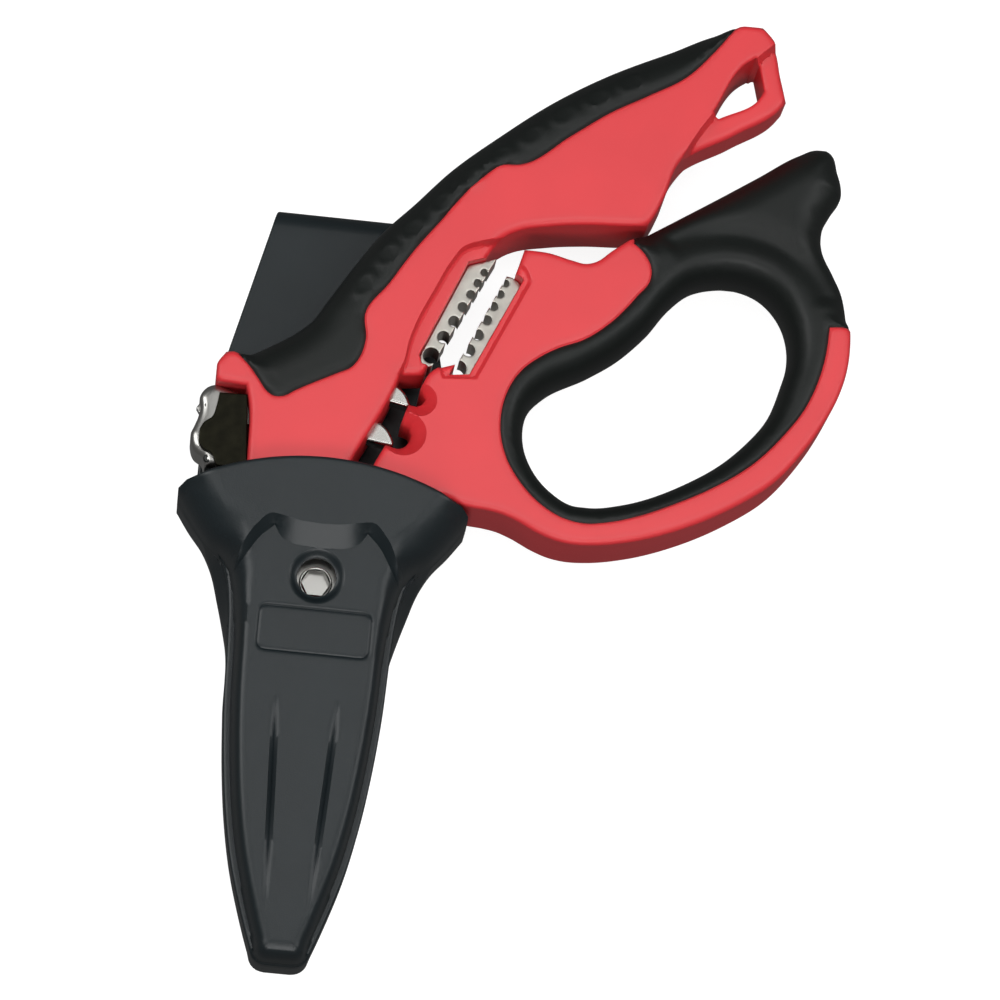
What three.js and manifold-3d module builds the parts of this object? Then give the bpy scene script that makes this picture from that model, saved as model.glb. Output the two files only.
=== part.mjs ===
// Multi-purpose electrician's scissors stowed in a moulded belt sheath.
// Millimetres. The origin is where the pivot axis meets the sheath's flat back face.
// +Y runs along the sheath towards the handles, +X to the right, +Z out of the front panel.
import * as THREE from 'three';
import { mergeVertices } from 'three/addons/utils/BufferGeometryUtils.js';
import Module from 'manifold-3d';

const wasm = await Module();
wasm.setup();

// Driving dimensions
const GAP = 0.3; // clearance kept between neighbouring solids
const MID_Z = 11; // plane on which the two blades meet
const HANDLE_T = 17; // thickness of both handles
const HANDLE_BACK = MID_Z - HANDLE_T / 2;
const BLADE_T = 2.5;
const SHEATH_WALL = 2;
const SHEATH_TIP_Y = -76.3;
const SPLIT_Z = 9; // seam between the two sheath shells
const PANEL_TIP_Z = 16.6; // front of the sheath at its tip
const PANEL_SLOPE = 0.042; // the front panel rises this much per mm towards the mouth
const BAND_RISE = 2.4; // the mouth band stands this far above the panel
const MOUTH_ARCH_R = 57.7;
const MOUTH_ARCH_HALF = 25;
const MOUTH_TOP_Y = 23.6;
const WINDOW_R = 4.1; // hole over the pivot bolt
const WINDOW_SINK_R = 5.6;
const WINDOW_SINK = 0.9; // depth of the ring around the hole
const CLIP_T = 2;
const CLIP_TONGUE_T = 1.8;
const BELT_GAP = 4.8;
const CLIP_TOP_Y = 81.5;
const CLIP_TOP_HALF = 14.5;
const CLIP_FLARE = 0.232; // half-width gained per mm downwards
const RIVET = { x: 14, y: 11, shank: 1.6, head: 3.2, headT: 0.8 };
const FAR = 95; // beyond every face, for solids that only cut
const BOLT = { head: 4, headT: 1.6, shank: 2.9, socketFlats: 5, socketDepth: 1.1 };
const NUT_FLATS = 8.5;
const NUT_T = 2.9;
const WASHER = { r: 5.2, t: 0.5 };
const DIE_BACK = MID_Z - 3.5;
const DIE_FRONT = MID_Z + 3.5;
const NEST_RADII = [0.55, 0.65, 0.8, 0.95, 1.1, 1.3, 1.6]; // from the tip end to the pivot end
const NEST_PLACES = [1, 0.845, 0.69, 0.535, 0.375, 0.2, 0]; // share of the way up the die
const NECK_SHARE = 0.7; // neck half-width as a share of the nest radius
const NECK_REACH = 3.5;
const INDENTER_STEM = 3; // how far each indenter tooth is pressed into the handle
const INDENTER_TILT = 0.15; // radians, the teeth point slightly down
const TAB_STEP = 3; // the handle thins by this much on each face at the lanyard end
const CATCH_PIN = { x: -24.6, y: 33.5, r: 0.9 };
const HOOK_PIN = { x: -23.7, y: 22.6, r: 0.9 };
const CATCH_BACK = 4.5;
const CATCH_FRONT = 17.5;
const CATCH_BEVEL = 0.8;
const CATCH_EAR_ROOM = 2.2; // slot around the blade's ear, so that the catch can turn

const red = { color: 0xd8454a, roughness: 0.42, metalness: 0 };
const rubber = { color: 0x141a18, roughness: 0.72, metalness: 0 };
const nylon = { color: 0x333b3b, roughness: 0.5, metalness: 0 };
const steel = { color: 0xb9bab6, roughness: 0.28, metalness: 1 };
const blackSteel = { color: 0x1f1e12, roughness: 0.4, metalness: 0.8 };

const part = new THREE.Group();

// ---- helpers -------------------------------------------------------------------------

function vectors(points) {
  return points.map(([x, y]) => new THREE.Vector2(x, y));
}

// Closed smooth outline through the points.
function smoothOutline(points, segments) {
  const ring = points.map(([x, y]) => new THREE.Vector3(x, y, 0));
  const curve = new THREE.CatmullRomCurve3(ring, true, 'centripetal');
  return curve.getPoints(segments).slice(0, -1).map((p) => [p.x, p.y]);
}

// Polygon with every corner rounded to the same radius, or less on short sides.
function rounded(points, radius, steps = 4) {
  const corners = vectors(points);
  const outline = [];
  corners.forEach((corner, i) => {
    const before = corners.at(i - 1);
    const after = corners[(i + 1) % corners.length];
    const reachIn = Math.min(radius, corner.distanceTo(before) * 0.45);
    const reachOut = Math.min(radius, corner.distanceTo(after) * 0.45);
    const start = corner.clone().lerp(before, reachIn / corner.distanceTo(before));
    const end = corner.clone().lerp(after, reachOut / corner.distanceTo(after));
    const bend = new THREE.QuadraticBezierCurve(start, corner, end);
    outline.push(...bend.getPoints(steps).map((p) => [p.x, p.y]));
  });
  return outline;
}

function prism(points, low, high, bevel = 0) {
  const shape = new THREE.Shape(vectors(points));
  const settings = { depth: high - low - 2 * bevel, steps: 1, bevelEnabled: bevel > 0 };
  if (bevel > 0) {
    const rim = { bevelThickness: bevel, bevelSize: bevel, bevelOffset: -bevel, bevelSegments: 2 };
    Object.assign(settings, rim);
  }
  const geometry = new THREE.ExtrudeGeometry(shape, settings);
  return solid(geometry.translate(0, 0, low + bevel));
}

function disc(x, y, radius, low, high, sides = 32) {
  const geometry = new THREE.CylinderGeometry(radius, radius, high - low, sides);
  geometry.rotateX(Math.PI / 2).translate(x, y, (low + high) / 2);
  return solid(geometry);
}

// The part of space between two heights.
function slab(low, high) {
  return prism([[-FAR, -FAR], [FAR, -FAR], [FAR, FAR], [-FAR, FAR]], low, high);
}

function cutter(points) {
  return prism(points, -FAR, FAR);
}

function drill(x, y, radius, sides = 32) {
  return disc(x, y, radius, -FAR, FAR, sides);
}

function hexagon(flats, low, high) {
  return disc(0, 0, flats / 2 / Math.cos(Math.PI / 6), low, high, 6);
}

function solid(geometry) {
  const bare = geometry.clone();
  bare.deleteAttribute('normal');
  bare.deleteAttribute('uv');
  const merged = mergeVertices(bare, 1e-4);
  const mesh = new wasm.Mesh({
    numProp: 3,
    vertProperties: Float32Array.from(merged.attributes.position.array),
    triVerts: Uint32Array.from(merged.index.array),
  });
  mesh.merge();
  return new wasm.Manifold(mesh);
}

// A solid skinned over closed sections of equal length, one per station.
function loft(sections) {
  const count = sections[0].length;
  const positions = sections.flat(2);
  const index = [];
  for (let s = 0; s + 1 < sections.length; s += 1) {
    for (let i = 0; i < count; i += 1) {
      const a = s * count + i;
      const b = s * count + ((i + 1) % count);
      index.push(a, a + count, b, b, a + count, b + count);
    }
  }
  const last = (sections.length - 1) * count;
  for (let i = 1; i + 1 < count; i += 1) {
    index.push(0, i, i + 1, last, last + i + 1, last + i);
  }
  const geometry = new THREE.BufferGeometry();
  geometry.setAttribute('position', new THREE.Float32BufferAttribute(positions, 3));
  geometry.setIndex(index);
  return solid(geometry);
}

function add(name, body, look) {
  const mesh = body.getMesh();
  const geometry = new THREE.BufferGeometry();
  geometry.setAttribute('position', new THREE.Float32BufferAttribute(mesh.vertProperties, 3));
  geometry.setIndex(Array.from(mesh.triVerts));
  geometry.computeVertexNormals();
  const piece = new THREE.Mesh(geometry, new THREE.MeshStandardMaterial(look));
  piece.name = name;
  part.add(piece);
}

// Straight-line reading of a table of [y, value] rows.
function readTable(rows, y) {
  const next = rows.findIndex(([rowY]) => rowY >= y);
  if (next <= 0) return next === 0 ? rows[0][1] : rows.at(-1)[1];
  const [y0, v0] = rows[next - 1];
  const [y1, v1] = rows[next];
  return v0 + ((v1 - v0) * (y - y0)) / (y1 - y0);
}

// ---- sheath --------------------------------------------------------------------------

// Half-width of the sheath and width of its front chamfer at each height.
const SHEATH_HALF = [
  [-76.3, 4.2], [-75, 5.4], [-72.7, 6.2], [-65.6, 8.7], [-57.3, 11.2], [-46.7, 13.4], [-38, 14.6],
  [-20, 16], [-12, 16.5], [-7.5, 17.7], [-3, 19.4], [4.5, 22.4], [9.3, 26], [13.6, 29], [26, 31],
];
const SHEATH_CHAMFER = [[-76.3, 2], [-12, 2.8], [4.5, 5.5], [13.6, 8], [26, 8]];

function panelZ(y) {
  return PANEL_TIP_Z + (y - SHEATH_TIP_Y) * PANEL_SLOPE;
}

function sheathSection(y, inset, rise) {
  const half = readTable(SHEATH_HALF, y) - inset;
  const chamfer = readTable(SHEATH_CHAMFER, y) - inset * 0.3;
  const top = panelZ(y) + rise - inset;
  const back = inset;
  const edge = 0.8;
  const right = [
    [half - edge, back], [half, back + edge], [half, top - chamfer * 0.9],
    [half - chamfer * 0.45, top - chamfer * 0.3], [half - chamfer, top],
  ];
  const left = right.map(([x, z]) => [-x, z]).reverse();
  return [...right, ...left].map(([x, z]) => [x, y, z]);
}

function sheathLoft(inset, rise) {
  const first = SHEATH_TIP_Y + inset;
  const stations = [first, ...SHEATH_HALF.map(([y]) => y).filter((y) => y > first + 0.5)];
  if (inset > 0) stations.push(30);
  return loft(stations.map((y) => sheathSection(y, inset, rise)));
}

// Plan region of the raised band around the mouth, with its lower edge moved by `shift`.
function mouthBand(shift) {
  return [
    [-FAR, shift], [-15.7, 1.7 + shift], [-9, 10.8 + shift], [9, 10.8 + shift],
    [15.7, 1.7 + shift], [FAR, shift], [FAR, FAR], [-FAR, FAR],
  ];
}

// Plan region below the mouth: a flat arch between two clipped corners.
function mouthArch() {
  const reach = Math.asin(MOUTH_ARCH_HALF / MOUTH_ARCH_R);
  const steps = 16;
  const top = [];
  for (let i = 0; i <= steps; i += 1) {
    const angle = reach * (1 - (2 * i) / steps);
    top.push([MOUTH_ARCH_R * Math.sin(angle), MOUTH_TOP_Y - MOUTH_ARCH_R * (1 - Math.cos(angle))]);
  }
  const rightCorner = [[FAR, -FAR], [FAR, 10], [29.4, 12.6], [28, 15.4]];
  const leftCorner = rightCorner.map(([x, y]) => [-x, y]).reverse();
  return [...rightCorner, ...top, ...leftCorner];
}

const sheathOuter = sheathLoft(0, 0)
  .add(sheathLoft(0, BAND_RISE).intersect(cutter(mouthBand(0))))
  .intersect(cutter(mouthArch()));
const sheathCavity = sheathLoft(SHEATH_WALL, 0)
  .add(sheathLoft(SHEATH_WALL, BAND_RISE).intersect(cutter(mouthBand(SHEATH_WALL))));
const sheath = sheathOuter.subtract(sheathCavity);
const windowCut = disc(0, 0, WINDOW_R, SPLIT_Z, FAR, 40)
  .add(disc(0, 0, WINDOW_SINK_R, panelZ(0) - WINDOW_SINK, FAR, 40));
add('sheath_front_shell', sheath.intersect(slab(SPLIT_Z + GAP, FAR)).subtract(windowCut), nylon);

let backShell = sheath.intersect(slab(-FAR, SPLIT_Z));
for (const side of [-1, 1]) {
  const x = side * RIVET.x;
  backShell = backShell
    .subtract(disc(x, RIVET.y, RIVET.shank + GAP, -1, SHEATH_WALL + 1, 20))
    .subtract(disc(x, RIVET.y, RIVET.head + GAP, SHEATH_WALL - RIVET.headT - GAP, SHEATH_WALL + 1, 24));
}
add('sheath_back_shell', backShell, nylon);

// ---- belt clip -----------------------------------------------------------------------

const leafFront = -GAP;
const leafBack = leafFront - CLIP_T;
const tongueFront = leafBack - BELT_GAP;
const tongueBack = tongueFront - CLIP_TONGUE_T;
const foldR = (leafFront - tongueBack) / 2;
const foldY = CLIP_TOP_Y - foldR;
const foldZ = (leafFront + tongueBack) / 2;

function clipHalf(y) {
  return CLIP_TOP_HALF + (CLIP_TOP_Y - y) * CLIP_FLARE;
}

const leafPlan = [
  [-clipHalf(CLIP_TOP_Y), CLIP_TOP_Y], [-clipHalf(20), 20], [-25, 12], [-19, 5],
  [19, 5], [25, 12], [clipHalf(20), 20], [clipHalf(CLIP_TOP_Y), CLIP_TOP_Y],
];
const tonguePlan = rounded([[-14.5, FAR], [-12.5, 30], [-8, 15], [8, 15], [12.5, 30], [14.5, FAR]], 5, 4);
const foldPlan = [
  [-clipHalf(foldY), foldY], [clipHalf(foldY), foldY], [CLIP_TOP_HALF, FAR], [-CLIP_TOP_HALF, FAR],
];

// A rod along X over the whole width of the fold.
function foldRod(radius, z, sides) {
  const geometry = new THREE.CylinderGeometry(radius, radius, FAR, sides);
  return solid(geometry.rotateZ(Math.PI / 2).translate(0, foldY, z));
}

// The fold is a half tube joining the leaf to the tongue.
const fold = foldRod(foldR, (leafFront + tongueBack) / 2, 40)
  .subtract(foldRod(BELT_GAP / 2, (leafBack + tongueFront) / 2, 32))
  .intersect(cutter(foldPlan));
const below = cutter([[-FAR, -FAR], [FAR, -FAR], [FAR, foldY], [-FAR, foldY]]);
let beltClip = prism(leafPlan, leafBack, leafFront)
  .add(prism(tonguePlan, tongueBack, tongueFront))
  .intersect(below)
  .add(fold);
for (const side of [-1, 1]) {
  beltClip = beltClip
    .subtract(disc(side * RIVET.x, RIVET.y, RIVET.shank + GAP, leafBack - 1, leafFront + 1, 20))
    .subtract(disc(side * RIVET.x, RIVET.y, RIVET.head + GAP, leafBack - 1, leafBack + RIVET.headT + GAP, 24));
}
add('belt_clip', beltClip, nylon);

// Each rivet lies flush in the leaf and in the floor of the sheath.
for (const [name, side] of [['clip_rivet_left', -1], ['clip_rivet_right', 1]]) {
  const x = side * RIVET.x;
  const rivet = disc(x, RIVET.y, RIVET.shank, leafBack + RIVET.headT / 2, SHEATH_WALL - RIVET.headT / 2, 20)
    .add(disc(x, RIVET.y, RIVET.head, SHEATH_WALL - RIVET.headT, SHEATH_WALL, 24))
    .add(disc(x, RIVET.y, RIVET.head, leafBack, leafBack + RIVET.headT, 24));
  add(name, rivet, steel);
}

// ---- blades and pivot ----------------------------------------------------------------

const frontBladeLow = MID_Z + GAP / 2;
const frontBladeHigh = frontBladeLow + BLADE_T;
const backBladeHigh = MID_Z - GAP / 2;
const backBladeLow = backBladeHigh - BLADE_T;
const headTop = frontBladeHigh + 0.35;

// Blade on the right of the sheath, its tang running up to the left into the upper handle.
const upperBladePlan = [
  [0.5, -70], [2.5, -68], [6, -60], [8.8, -47], [10.5, -28], [11, -10], [10.5, 0], [8, 7], [4, 13],
  [1.5, 20], [3.4, 30], [3.8, 45], [0, 44], [-8, 38], [-15, 36], [-15, 22], [-13.5, 12],
  [-10, 4], [-7.5, -6], [-5, -14], [-4, -30], [-3.2, -50], [-1.5, -66],
];
// The ear that carries the catch pin.
const catchEar = rounded([[-12, 31], [-12, 36], [-25, 36.2], [-27, 33.5], [-25, 31]], 1.5, 3);
// Blade on the left of the sheath, its tang running up to the right into the ring handle.
const ringBladePlan = [
  [-0.5, -70], [1.5, -66], [3.2, -50], [4, -30], [5, -14], [11, 2], [16, 10], [24, 18.5],
  [30, 22], [31.5, 30], [28, 40], [22, 40.5], [21, 30], [12.5, 22.5], [7.5, 16], [0, 11], [-6, 8], [-9.5, 2],
  [-11, -10], [-10.5, -28], [-8.8, -47], [-6, -60], [-2.5, -68],
];
const upperTang = prism(upperBladePlan, frontBladeLow, frontBladeHigh)
  .add(prism(catchEar, frontBladeLow, frontBladeHigh));
const upperBlade = upperTang
  .subtract(drill(0, 0, BOLT.shank + GAP))
  .subtract(disc(0, 0, BOLT.head + GAP, headTop - BOLT.headT - GAP, FAR))
  .subtract(drill(CATCH_PIN.x, CATCH_PIN.y, CATCH_PIN.r + GAP, 20));
add('upper_blade', upperBlade, steel);
const ringTang = prism(ringBladePlan, backBladeLow, backBladeHigh);
add('ring_blade', ringTang.subtract(drill(0, 0, BOLT.shank + GAP)), steel);

const nutTop = backBladeLow - GAP - WASHER.t - GAP;
const boltEnd = nutTop - NUT_T - 0.6;
const bolt = disc(0, 0, BOLT.head, headTop - BOLT.headT, headTop, 40)
  .add(disc(0, 0, BOLT.shank, boltEnd, headTop - BOLT.headT / 2))
  .subtract(hexagon(BOLT.socketFlats, headTop - BOLT.socketDepth, headTop + 1));
add('pivot_bolt', bolt, steel);
add('pivot_washer', disc(0, 0, WASHER.r, nutTop + GAP, nutTop + GAP + WASHER.t)
  .subtract(drill(0, 0, BOLT.shank + GAP)), steel);
add('pivot_nut', hexagon(NUT_FLATS, nutTop - NUT_T, nutTop)
  .subtract(drill(0, 0, BOLT.shank + GAP)), steel);

// ---- crimping dies -------------------------------------------------------------------

// The nests lie along a line from the large pair at the bottom to the small pair at the top.
const upperNestStart = new THREE.Vector2(19, 49.3);
const upperNestEnd = new THREE.Vector2(27.9, 67.9);
const ringNestStart = new THREE.Vector2(24.5, 47.2);
const ringNestEnd = new THREE.Vector2(32.7, 66.2);
const alongDie = upperNestEnd.clone().sub(upperNestStart).normalize();
const acrossGap = new THREE.Vector2(alongDie.y, -alongDie.x);

// A round nest with a narrower neck that opens it to the gap between the dies.
function nest(at, radius, towardsGap) {
  const along = new THREE.Vector2(-towardsGap.y, towardsGap.x).multiplyScalar(radius * NECK_SHARE);
  const mouth = at.clone().addScaledVector(towardsGap, NECK_REACH);
  const neck = [
    at.clone().sub(along), at.clone().add(along), mouth.clone().add(along), mouth.clone().sub(along),
  ];
  return drill(at.x, at.y, radius, 16).add(cutter(neck.map((p) => [p.x, p.y])));
}

function crimpDie(plan, start, end, towardsGap) {
  let die = prism(plan, DIE_BACK, DIE_FRONT);
  NEST_RADII.forEach((radius, i) => {
    die = die.subtract(nest(start.clone().lerp(end, NEST_PLACES[i]), radius, towardsGap));
  });
  return die;
}

const upperDiePlan = [
  [16.3, 48.2], [17, 46.6], [19.4, 45.8], [20.3, 47.5], [29.3, 67.8], [28.6, 70], [24.5, 68.5],
];
const ringDiePlan = [
  [22.8, 44.9], [26.4, 44.9], [35.5, 65.6], [33.6, 66.9], [31.4, 65.6], [23.3, 47.3],
];
add('upper_crimp_die', crimpDie(upperDiePlan, upperNestStart, upperNestEnd, acrossGap), steel);
add('ring_crimp_die', crimpDie(ringDiePlan, ringNestStart, ringNestEnd, acrossGap.clone().negate()), steel);

// ---- indenter teeth ------------------------------------------------------------------

// A turned steel pin with a pointed nose, pressed sideways into the upper handle.
function indenter(x, y, reach, radius) {
  const profile = [
    [0, -INDENTER_STEM], [1, -INDENTER_STEM], [1, 0], [radius, 0],
    [radius * 0.78, reach * 0.4], [radius * 0.35, reach * 0.85], [0, reach],
  ];
  const geometry = new THREE.LatheGeometry(vectors(profile), 24);
  geometry.rotateZ(-Math.PI / 2 - INDENTER_TILT).translate(x, y, MID_Z);
  return solid(geometry);
}

const teeth = [
  { name: 'indenter_small', x: 11.7, y: 41.1, reach: 4.4, radius: 2 },
  { name: 'indenter_large', x: 8.3, y: 33.2, reach: 5.2, radius: 2.5 },
];
for (const tooth of teeth) add(tooth.name, indenter(tooth.x, tooth.y, tooth.reach, tooth.radius), steel);

// ---- upper handle --------------------------------------------------------------------

const upperOutline = [
  [-15.6, 17.5], [2.2, 17.5], [4.6, 24.2], [11.6, 39.6], [12.9, 43.6], [17.4, 44.2], [18.6, 47.5], [26.5, 66],
  [29.5, 72.6], [33, 75.2], [40.5, 77.3], [48, 78.4], [56, 79], [59.5, 79.4], [61, 82], [62.6, 86],
  [65, 93.5], [76, 101.5], [84.5, 107.6], [86.1, 109.8], [84.6, 115], [82.6, 121.5], [80, 124.3],
  [73.8, 124], [61.2, 118.2], [49.1, 111.9], [38.6, 105], [28.6, 96.8], [19, 88], [12.4, 80.3],
  [6.8, 74], [1.3, 65.6], [-3.2, 58], [-5.8, 53.7], [-9, 50.7], [-13.1, 47.9], [-19.2, 44.7],
  [-22.2, 44.2], [-23.8, 41.5], [-23.6, 37.9], [-17.6, 37.6], [-17.1, 36], [-15.9, 22],
];
// Region covered by the soft grip along the outer spine.
const upperGripEdge = [
  [-20.5, 46.5], [-19.3, 43.6], [-17.3, 41.5], [-15, 38.7], [-13.6, 36.9], [-11.8, 35.9], [-10, 36.1],
  [-7.8, 37.5], [0.3, 42], [2.8, 43.4], [4.2, 45.4], [5.2, 49.5], [4.6, 54.8], [8.9, 61.8],
  [12.9, 68.6], [17.8, 75.6], [24.3, 84.4], [29.6, 88.9], [32.9, 89.4], [42.8, 96.7], [50.1, 102.3],
  [57.7, 106.9], [65, 111.6], [70.6, 118], [76, 126], [60, 130], [-30, 80],
];
const lanyardHole = rounded([[71.6, 106.4], [81.4, 112.5], [79.7, 117.6], [78.2, 117.4]], 1.2, 3);
const tabStep = [[63.5, 92], [70, 104], [80.3, 118.6], [85, 124], [95, 110], [80, 94]];

function grown(points, amount) {
  const ring = vectors(points);
  const sign = THREE.ShapeUtils.area(ring) > 0 ? 1 : -1;
  return ring.map((point, i) => {
    const before = ring.at(i - 1);
    const after = ring[(i + 1) % ring.length];
    const inDir = point.clone().sub(before).normalize();
    const outDir = after.clone().sub(point).normalize();
    const tangent = inDir.add(outDir).normalize();
    return [point.x + tangent.y * sign * amount, point.y - tangent.x * sign * amount];
  });
}

const handleFront = HANDLE_BACK + HANDLE_T;
const upperBody = prism(upperOutline, HANDLE_BACK, handleFront);
const tangSlot = (plan, low) => prism(grown(plan, GAP), low - GAP, low + BLADE_T + GAP);
let upperShell = upperBody
  .subtract(cutter(grown(upperGripEdge, GAP)))
  .subtract(cutter(lanyardHole))
  .subtract(prism(tabStep, handleFront - TAB_STEP, FAR))
  .subtract(prism(tabStep, -FAR, HANDLE_BACK + TAB_STEP))
  .subtract(cutter(grown(upperDiePlan, GAP)))
  .subtract(tangSlot(upperBladePlan, frontBladeLow))
  .subtract(tangSlot(catchEar, frontBladeLow));
for (const tooth of teeth) {
  upperShell = upperShell.subtract(indenter(tooth.x, tooth.y, tooth.reach, tooth.radius));
}
add('upper_handle_shell', upperShell, red);
const upperGrip = upperBody.intersect(cutter(upperGripEdge));
add('upper_grip', upperGrip.subtract(tangSlot(upperBladePlan, frontBladeLow)), rubber);

// ---- ring handle ---------------------------------------------------------------------

const ringOutline = [
  [6.8, 17.6], [17, 17.6], [20, 18.4], [23.5, 18.8], [26.5, 17.8], [29.2, 17.3], [32.1, 17.1], [35.3, 16.6],
  [38.2, 15.6], [42.7, 13.5], [46, 12.4], [49.9, 11.9], [53.7, 12.1], [62.1, 13.8], [71.2, 17.2],
  [80.9, 22.5], [88.7, 28.8], [94.3, 36.5], [97.6, 42.5], [99.5, 47.5], [101.2, 51], [102.4, 56.8],
  [102.3, 61], [101.8, 65.4], [100.4, 71], [98.5, 74.6], [95.9, 79.6], [95.6, 83.5], [97.5, 88.5],
  [99, 91.3], [98.8, 94], [98, 96.3], [96.5, 100.2], [95.2, 101], [93.2, 100.9], [89.8, 99.3],
  [57.6, 77.2], [52.6, 73.2], [50, 70.9], [48, 70.2], [45, 70.6], [40.4, 71.6], [35.3, 71.8],
  [34.2, 67.6], [25, 47.6], [18.6, 44.2], [17, 40.9], [18.3, 39.2], [17.3, 38.1], [15.1, 37.8],
  [13.8, 33.6], [15.6, 33], [16.1, 31.6], [15.6, 30.3], [14.1, 28.9], [11.2, 28.7], [9.6, 25.3],
];
// Region covered by the soft liner and thumb rest.
const ringGripEdge = [
  [57.4, 80.2], [57.2, 75.4], [59.5, 73.3], [61.1, 70.2], [60.9, 67.6], [58.9, 64.7], [53.8, 58.3],
  [48.6, 54.1], [44, 52], [40.3, 49.7], [36.2, 45.7], [34.2, 41.5], [33.4, 36.2], [33.8, 32.3],
  [35.3, 28], [38.5, 23.3], [42.9, 19.3], [47.8, 16.9], [51.7, 16.3], [56.4, 17], [62.1, 18.8],
  [69.3, 22.1], [76.2, 25.9], [84.6, 32.1], [90, 38.3], [94, 44.4], [96.4, 50.7], [97.6, 56.9],
  [97.9, 62], [106, 63], [108, 84], [100, 108],
];
const fingerHole = smoothOutline([
  [38.4, 35], [39.4, 40.4], [42.2, 43.7], [50.8, 49], [56.3, 53], [61.8, 58.8], [66.1, 65], [70, 68.7],
  [74.7, 70.4], [79, 70.7], [83.6, 69.4], [87.9, 65.6], [90.1, 61], [90.7, 56], [89.6, 50.4],
  [87.2, 43.2], [82.7, 37], [78, 32.4], [72, 28.2], [59.3, 22.3], [53, 21], [49, 21.2], [45.2, 23.2],
  [41.2, 27.2], [39, 31.6],
], 60);

const ringBody = prism(ringOutline, HANDLE_BACK, handleFront).subtract(cutter(fingerHole));
const ringShell = ringBody
  .subtract(cutter(grown(ringGripEdge, GAP)))
  .subtract(cutter(grown(ringDiePlan, GAP)))
  .subtract(tangSlot(ringBladePlan, backBladeLow));
add('ring_handle_shell', ringShell, red);
add('ring_grip', ringBody.intersect(cutter(ringGripEdge)), rubber);

// ---- lock catch ----------------------------------------------------------------------

const catchPlan = [
  [-17.2, 20.9], [-18.5, 36.4], [-21.5, 37], [-24.4, 36.9], [-26, 35.8], [-26.6, 33.6], [-26.3, 31.2],
  [-26.2, 30.2], [-27.4, 28.4], [-27.9, 26.2], [-27.5, 24], [-26.2, 22], [-24.5, 20.9],
];
const catchBody = prism(catchPlan, CATCH_BACK, CATCH_FRONT, CATCH_BEVEL)
  .subtract(prism(grown(catchEar, CATCH_EAR_ROOM), frontBladeLow - GAP, frontBladeHigh + GAP))
  .subtract(drill(CATCH_PIN.x, CATCH_PIN.y, CATCH_PIN.r + GAP, 20))
  .subtract(drill(HOOK_PIN.x, HOOK_PIN.y, HOOK_PIN.r + GAP, 20));
add('lock_catch', catchBody, blackSteel);
for (const [name, pin] of [['catch_pin', CATCH_PIN], ['catch_hook_pin', HOOK_PIN]]) {
  add(name, disc(pin.x, pin.y, pin.r, CATCH_BACK, CATCH_FRONT, 20), steel);
}

export default part;
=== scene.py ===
"""Electrician's scissors with a finger ring, stowed in a moulded belt sheath: the visible surfaces.

Laid out as an add-on: one operator builds each piece, or group of like pieces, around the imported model.
Outlines are in millimetres in the part's own frame, and every object is in metres in that frame.
"""
import math

import bmesh
import bpy
import numpy as np
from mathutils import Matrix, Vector
from mathutils.geometry import delaunay_2d_cdt


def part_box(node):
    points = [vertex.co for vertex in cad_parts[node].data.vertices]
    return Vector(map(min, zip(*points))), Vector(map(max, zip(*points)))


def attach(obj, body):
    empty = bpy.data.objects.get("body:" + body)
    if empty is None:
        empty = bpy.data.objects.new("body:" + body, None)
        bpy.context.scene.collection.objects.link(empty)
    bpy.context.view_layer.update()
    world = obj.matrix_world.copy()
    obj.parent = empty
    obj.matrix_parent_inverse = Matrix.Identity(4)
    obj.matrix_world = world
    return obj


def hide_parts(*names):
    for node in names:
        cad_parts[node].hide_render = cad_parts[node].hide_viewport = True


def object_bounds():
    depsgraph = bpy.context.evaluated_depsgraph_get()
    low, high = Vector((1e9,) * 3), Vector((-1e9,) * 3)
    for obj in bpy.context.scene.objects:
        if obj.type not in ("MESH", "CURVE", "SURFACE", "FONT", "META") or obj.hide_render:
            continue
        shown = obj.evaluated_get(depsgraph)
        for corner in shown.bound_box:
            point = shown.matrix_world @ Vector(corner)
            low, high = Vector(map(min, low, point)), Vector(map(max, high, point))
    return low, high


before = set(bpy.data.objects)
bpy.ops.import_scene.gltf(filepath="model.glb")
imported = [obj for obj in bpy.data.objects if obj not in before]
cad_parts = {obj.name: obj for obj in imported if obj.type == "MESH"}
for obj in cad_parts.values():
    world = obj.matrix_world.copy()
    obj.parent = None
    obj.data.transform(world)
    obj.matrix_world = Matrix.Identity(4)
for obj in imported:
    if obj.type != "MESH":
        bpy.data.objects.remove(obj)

bl_info = {
    "name": "Electrician's Scissors",
    "version": (1, 0, 0),
    "blender": (4, 5, 0),
    "location": "View3D > Sidebar > Scissors",
    "description": "Builds the scissors, their belt sheath and the studio, piece by piece",
    "category": "Add Mesh",
}

CAD_BOX = [list(corner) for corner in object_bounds()]
MM = 0.001
MID_Z = 11.0  # plane on which the blades meet
HALF_T = 8.5  # half the handles' thickness
SPLIT_Z = 9.3  # where the sheath's front shell starts
WALL = 2.0  # sheath wall
SOCKET_FLATS = 5.0  # across the flats of the bolt's hexagon socket


def box_mm(node):
    """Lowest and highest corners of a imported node, in millimetres."""
    low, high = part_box(node)
    return np.array(low) / MM, np.array(high) / MM


# ---- sizes and colours a user would change ------------------------------------------------


def linear(code):
    """Linear colour of an sRGB hex code."""
    parts = [int(code[i:i + 2], 16) / 255 for i in (1, 3, 5)]
    return tuple(c / 12.92 if c <= 0.04045 else ((c + 0.055) / 1.055) ** 2.4 for c in parts)


def length(name, description, default):
    """A length property whose default is given in millimetres."""
    return bpy.props.FloatProperty(
        name=name, description=description, default=default * MM, min=0, unit="LENGTH")


def colour(name, description, code):
    """A colour property whose default is given as an sRGB hex code."""
    return bpy.props.FloatVectorProperty(
        name=name, description=description, default=linear(code), size=3, min=0, max=1, subtype="COLOR")


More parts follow.
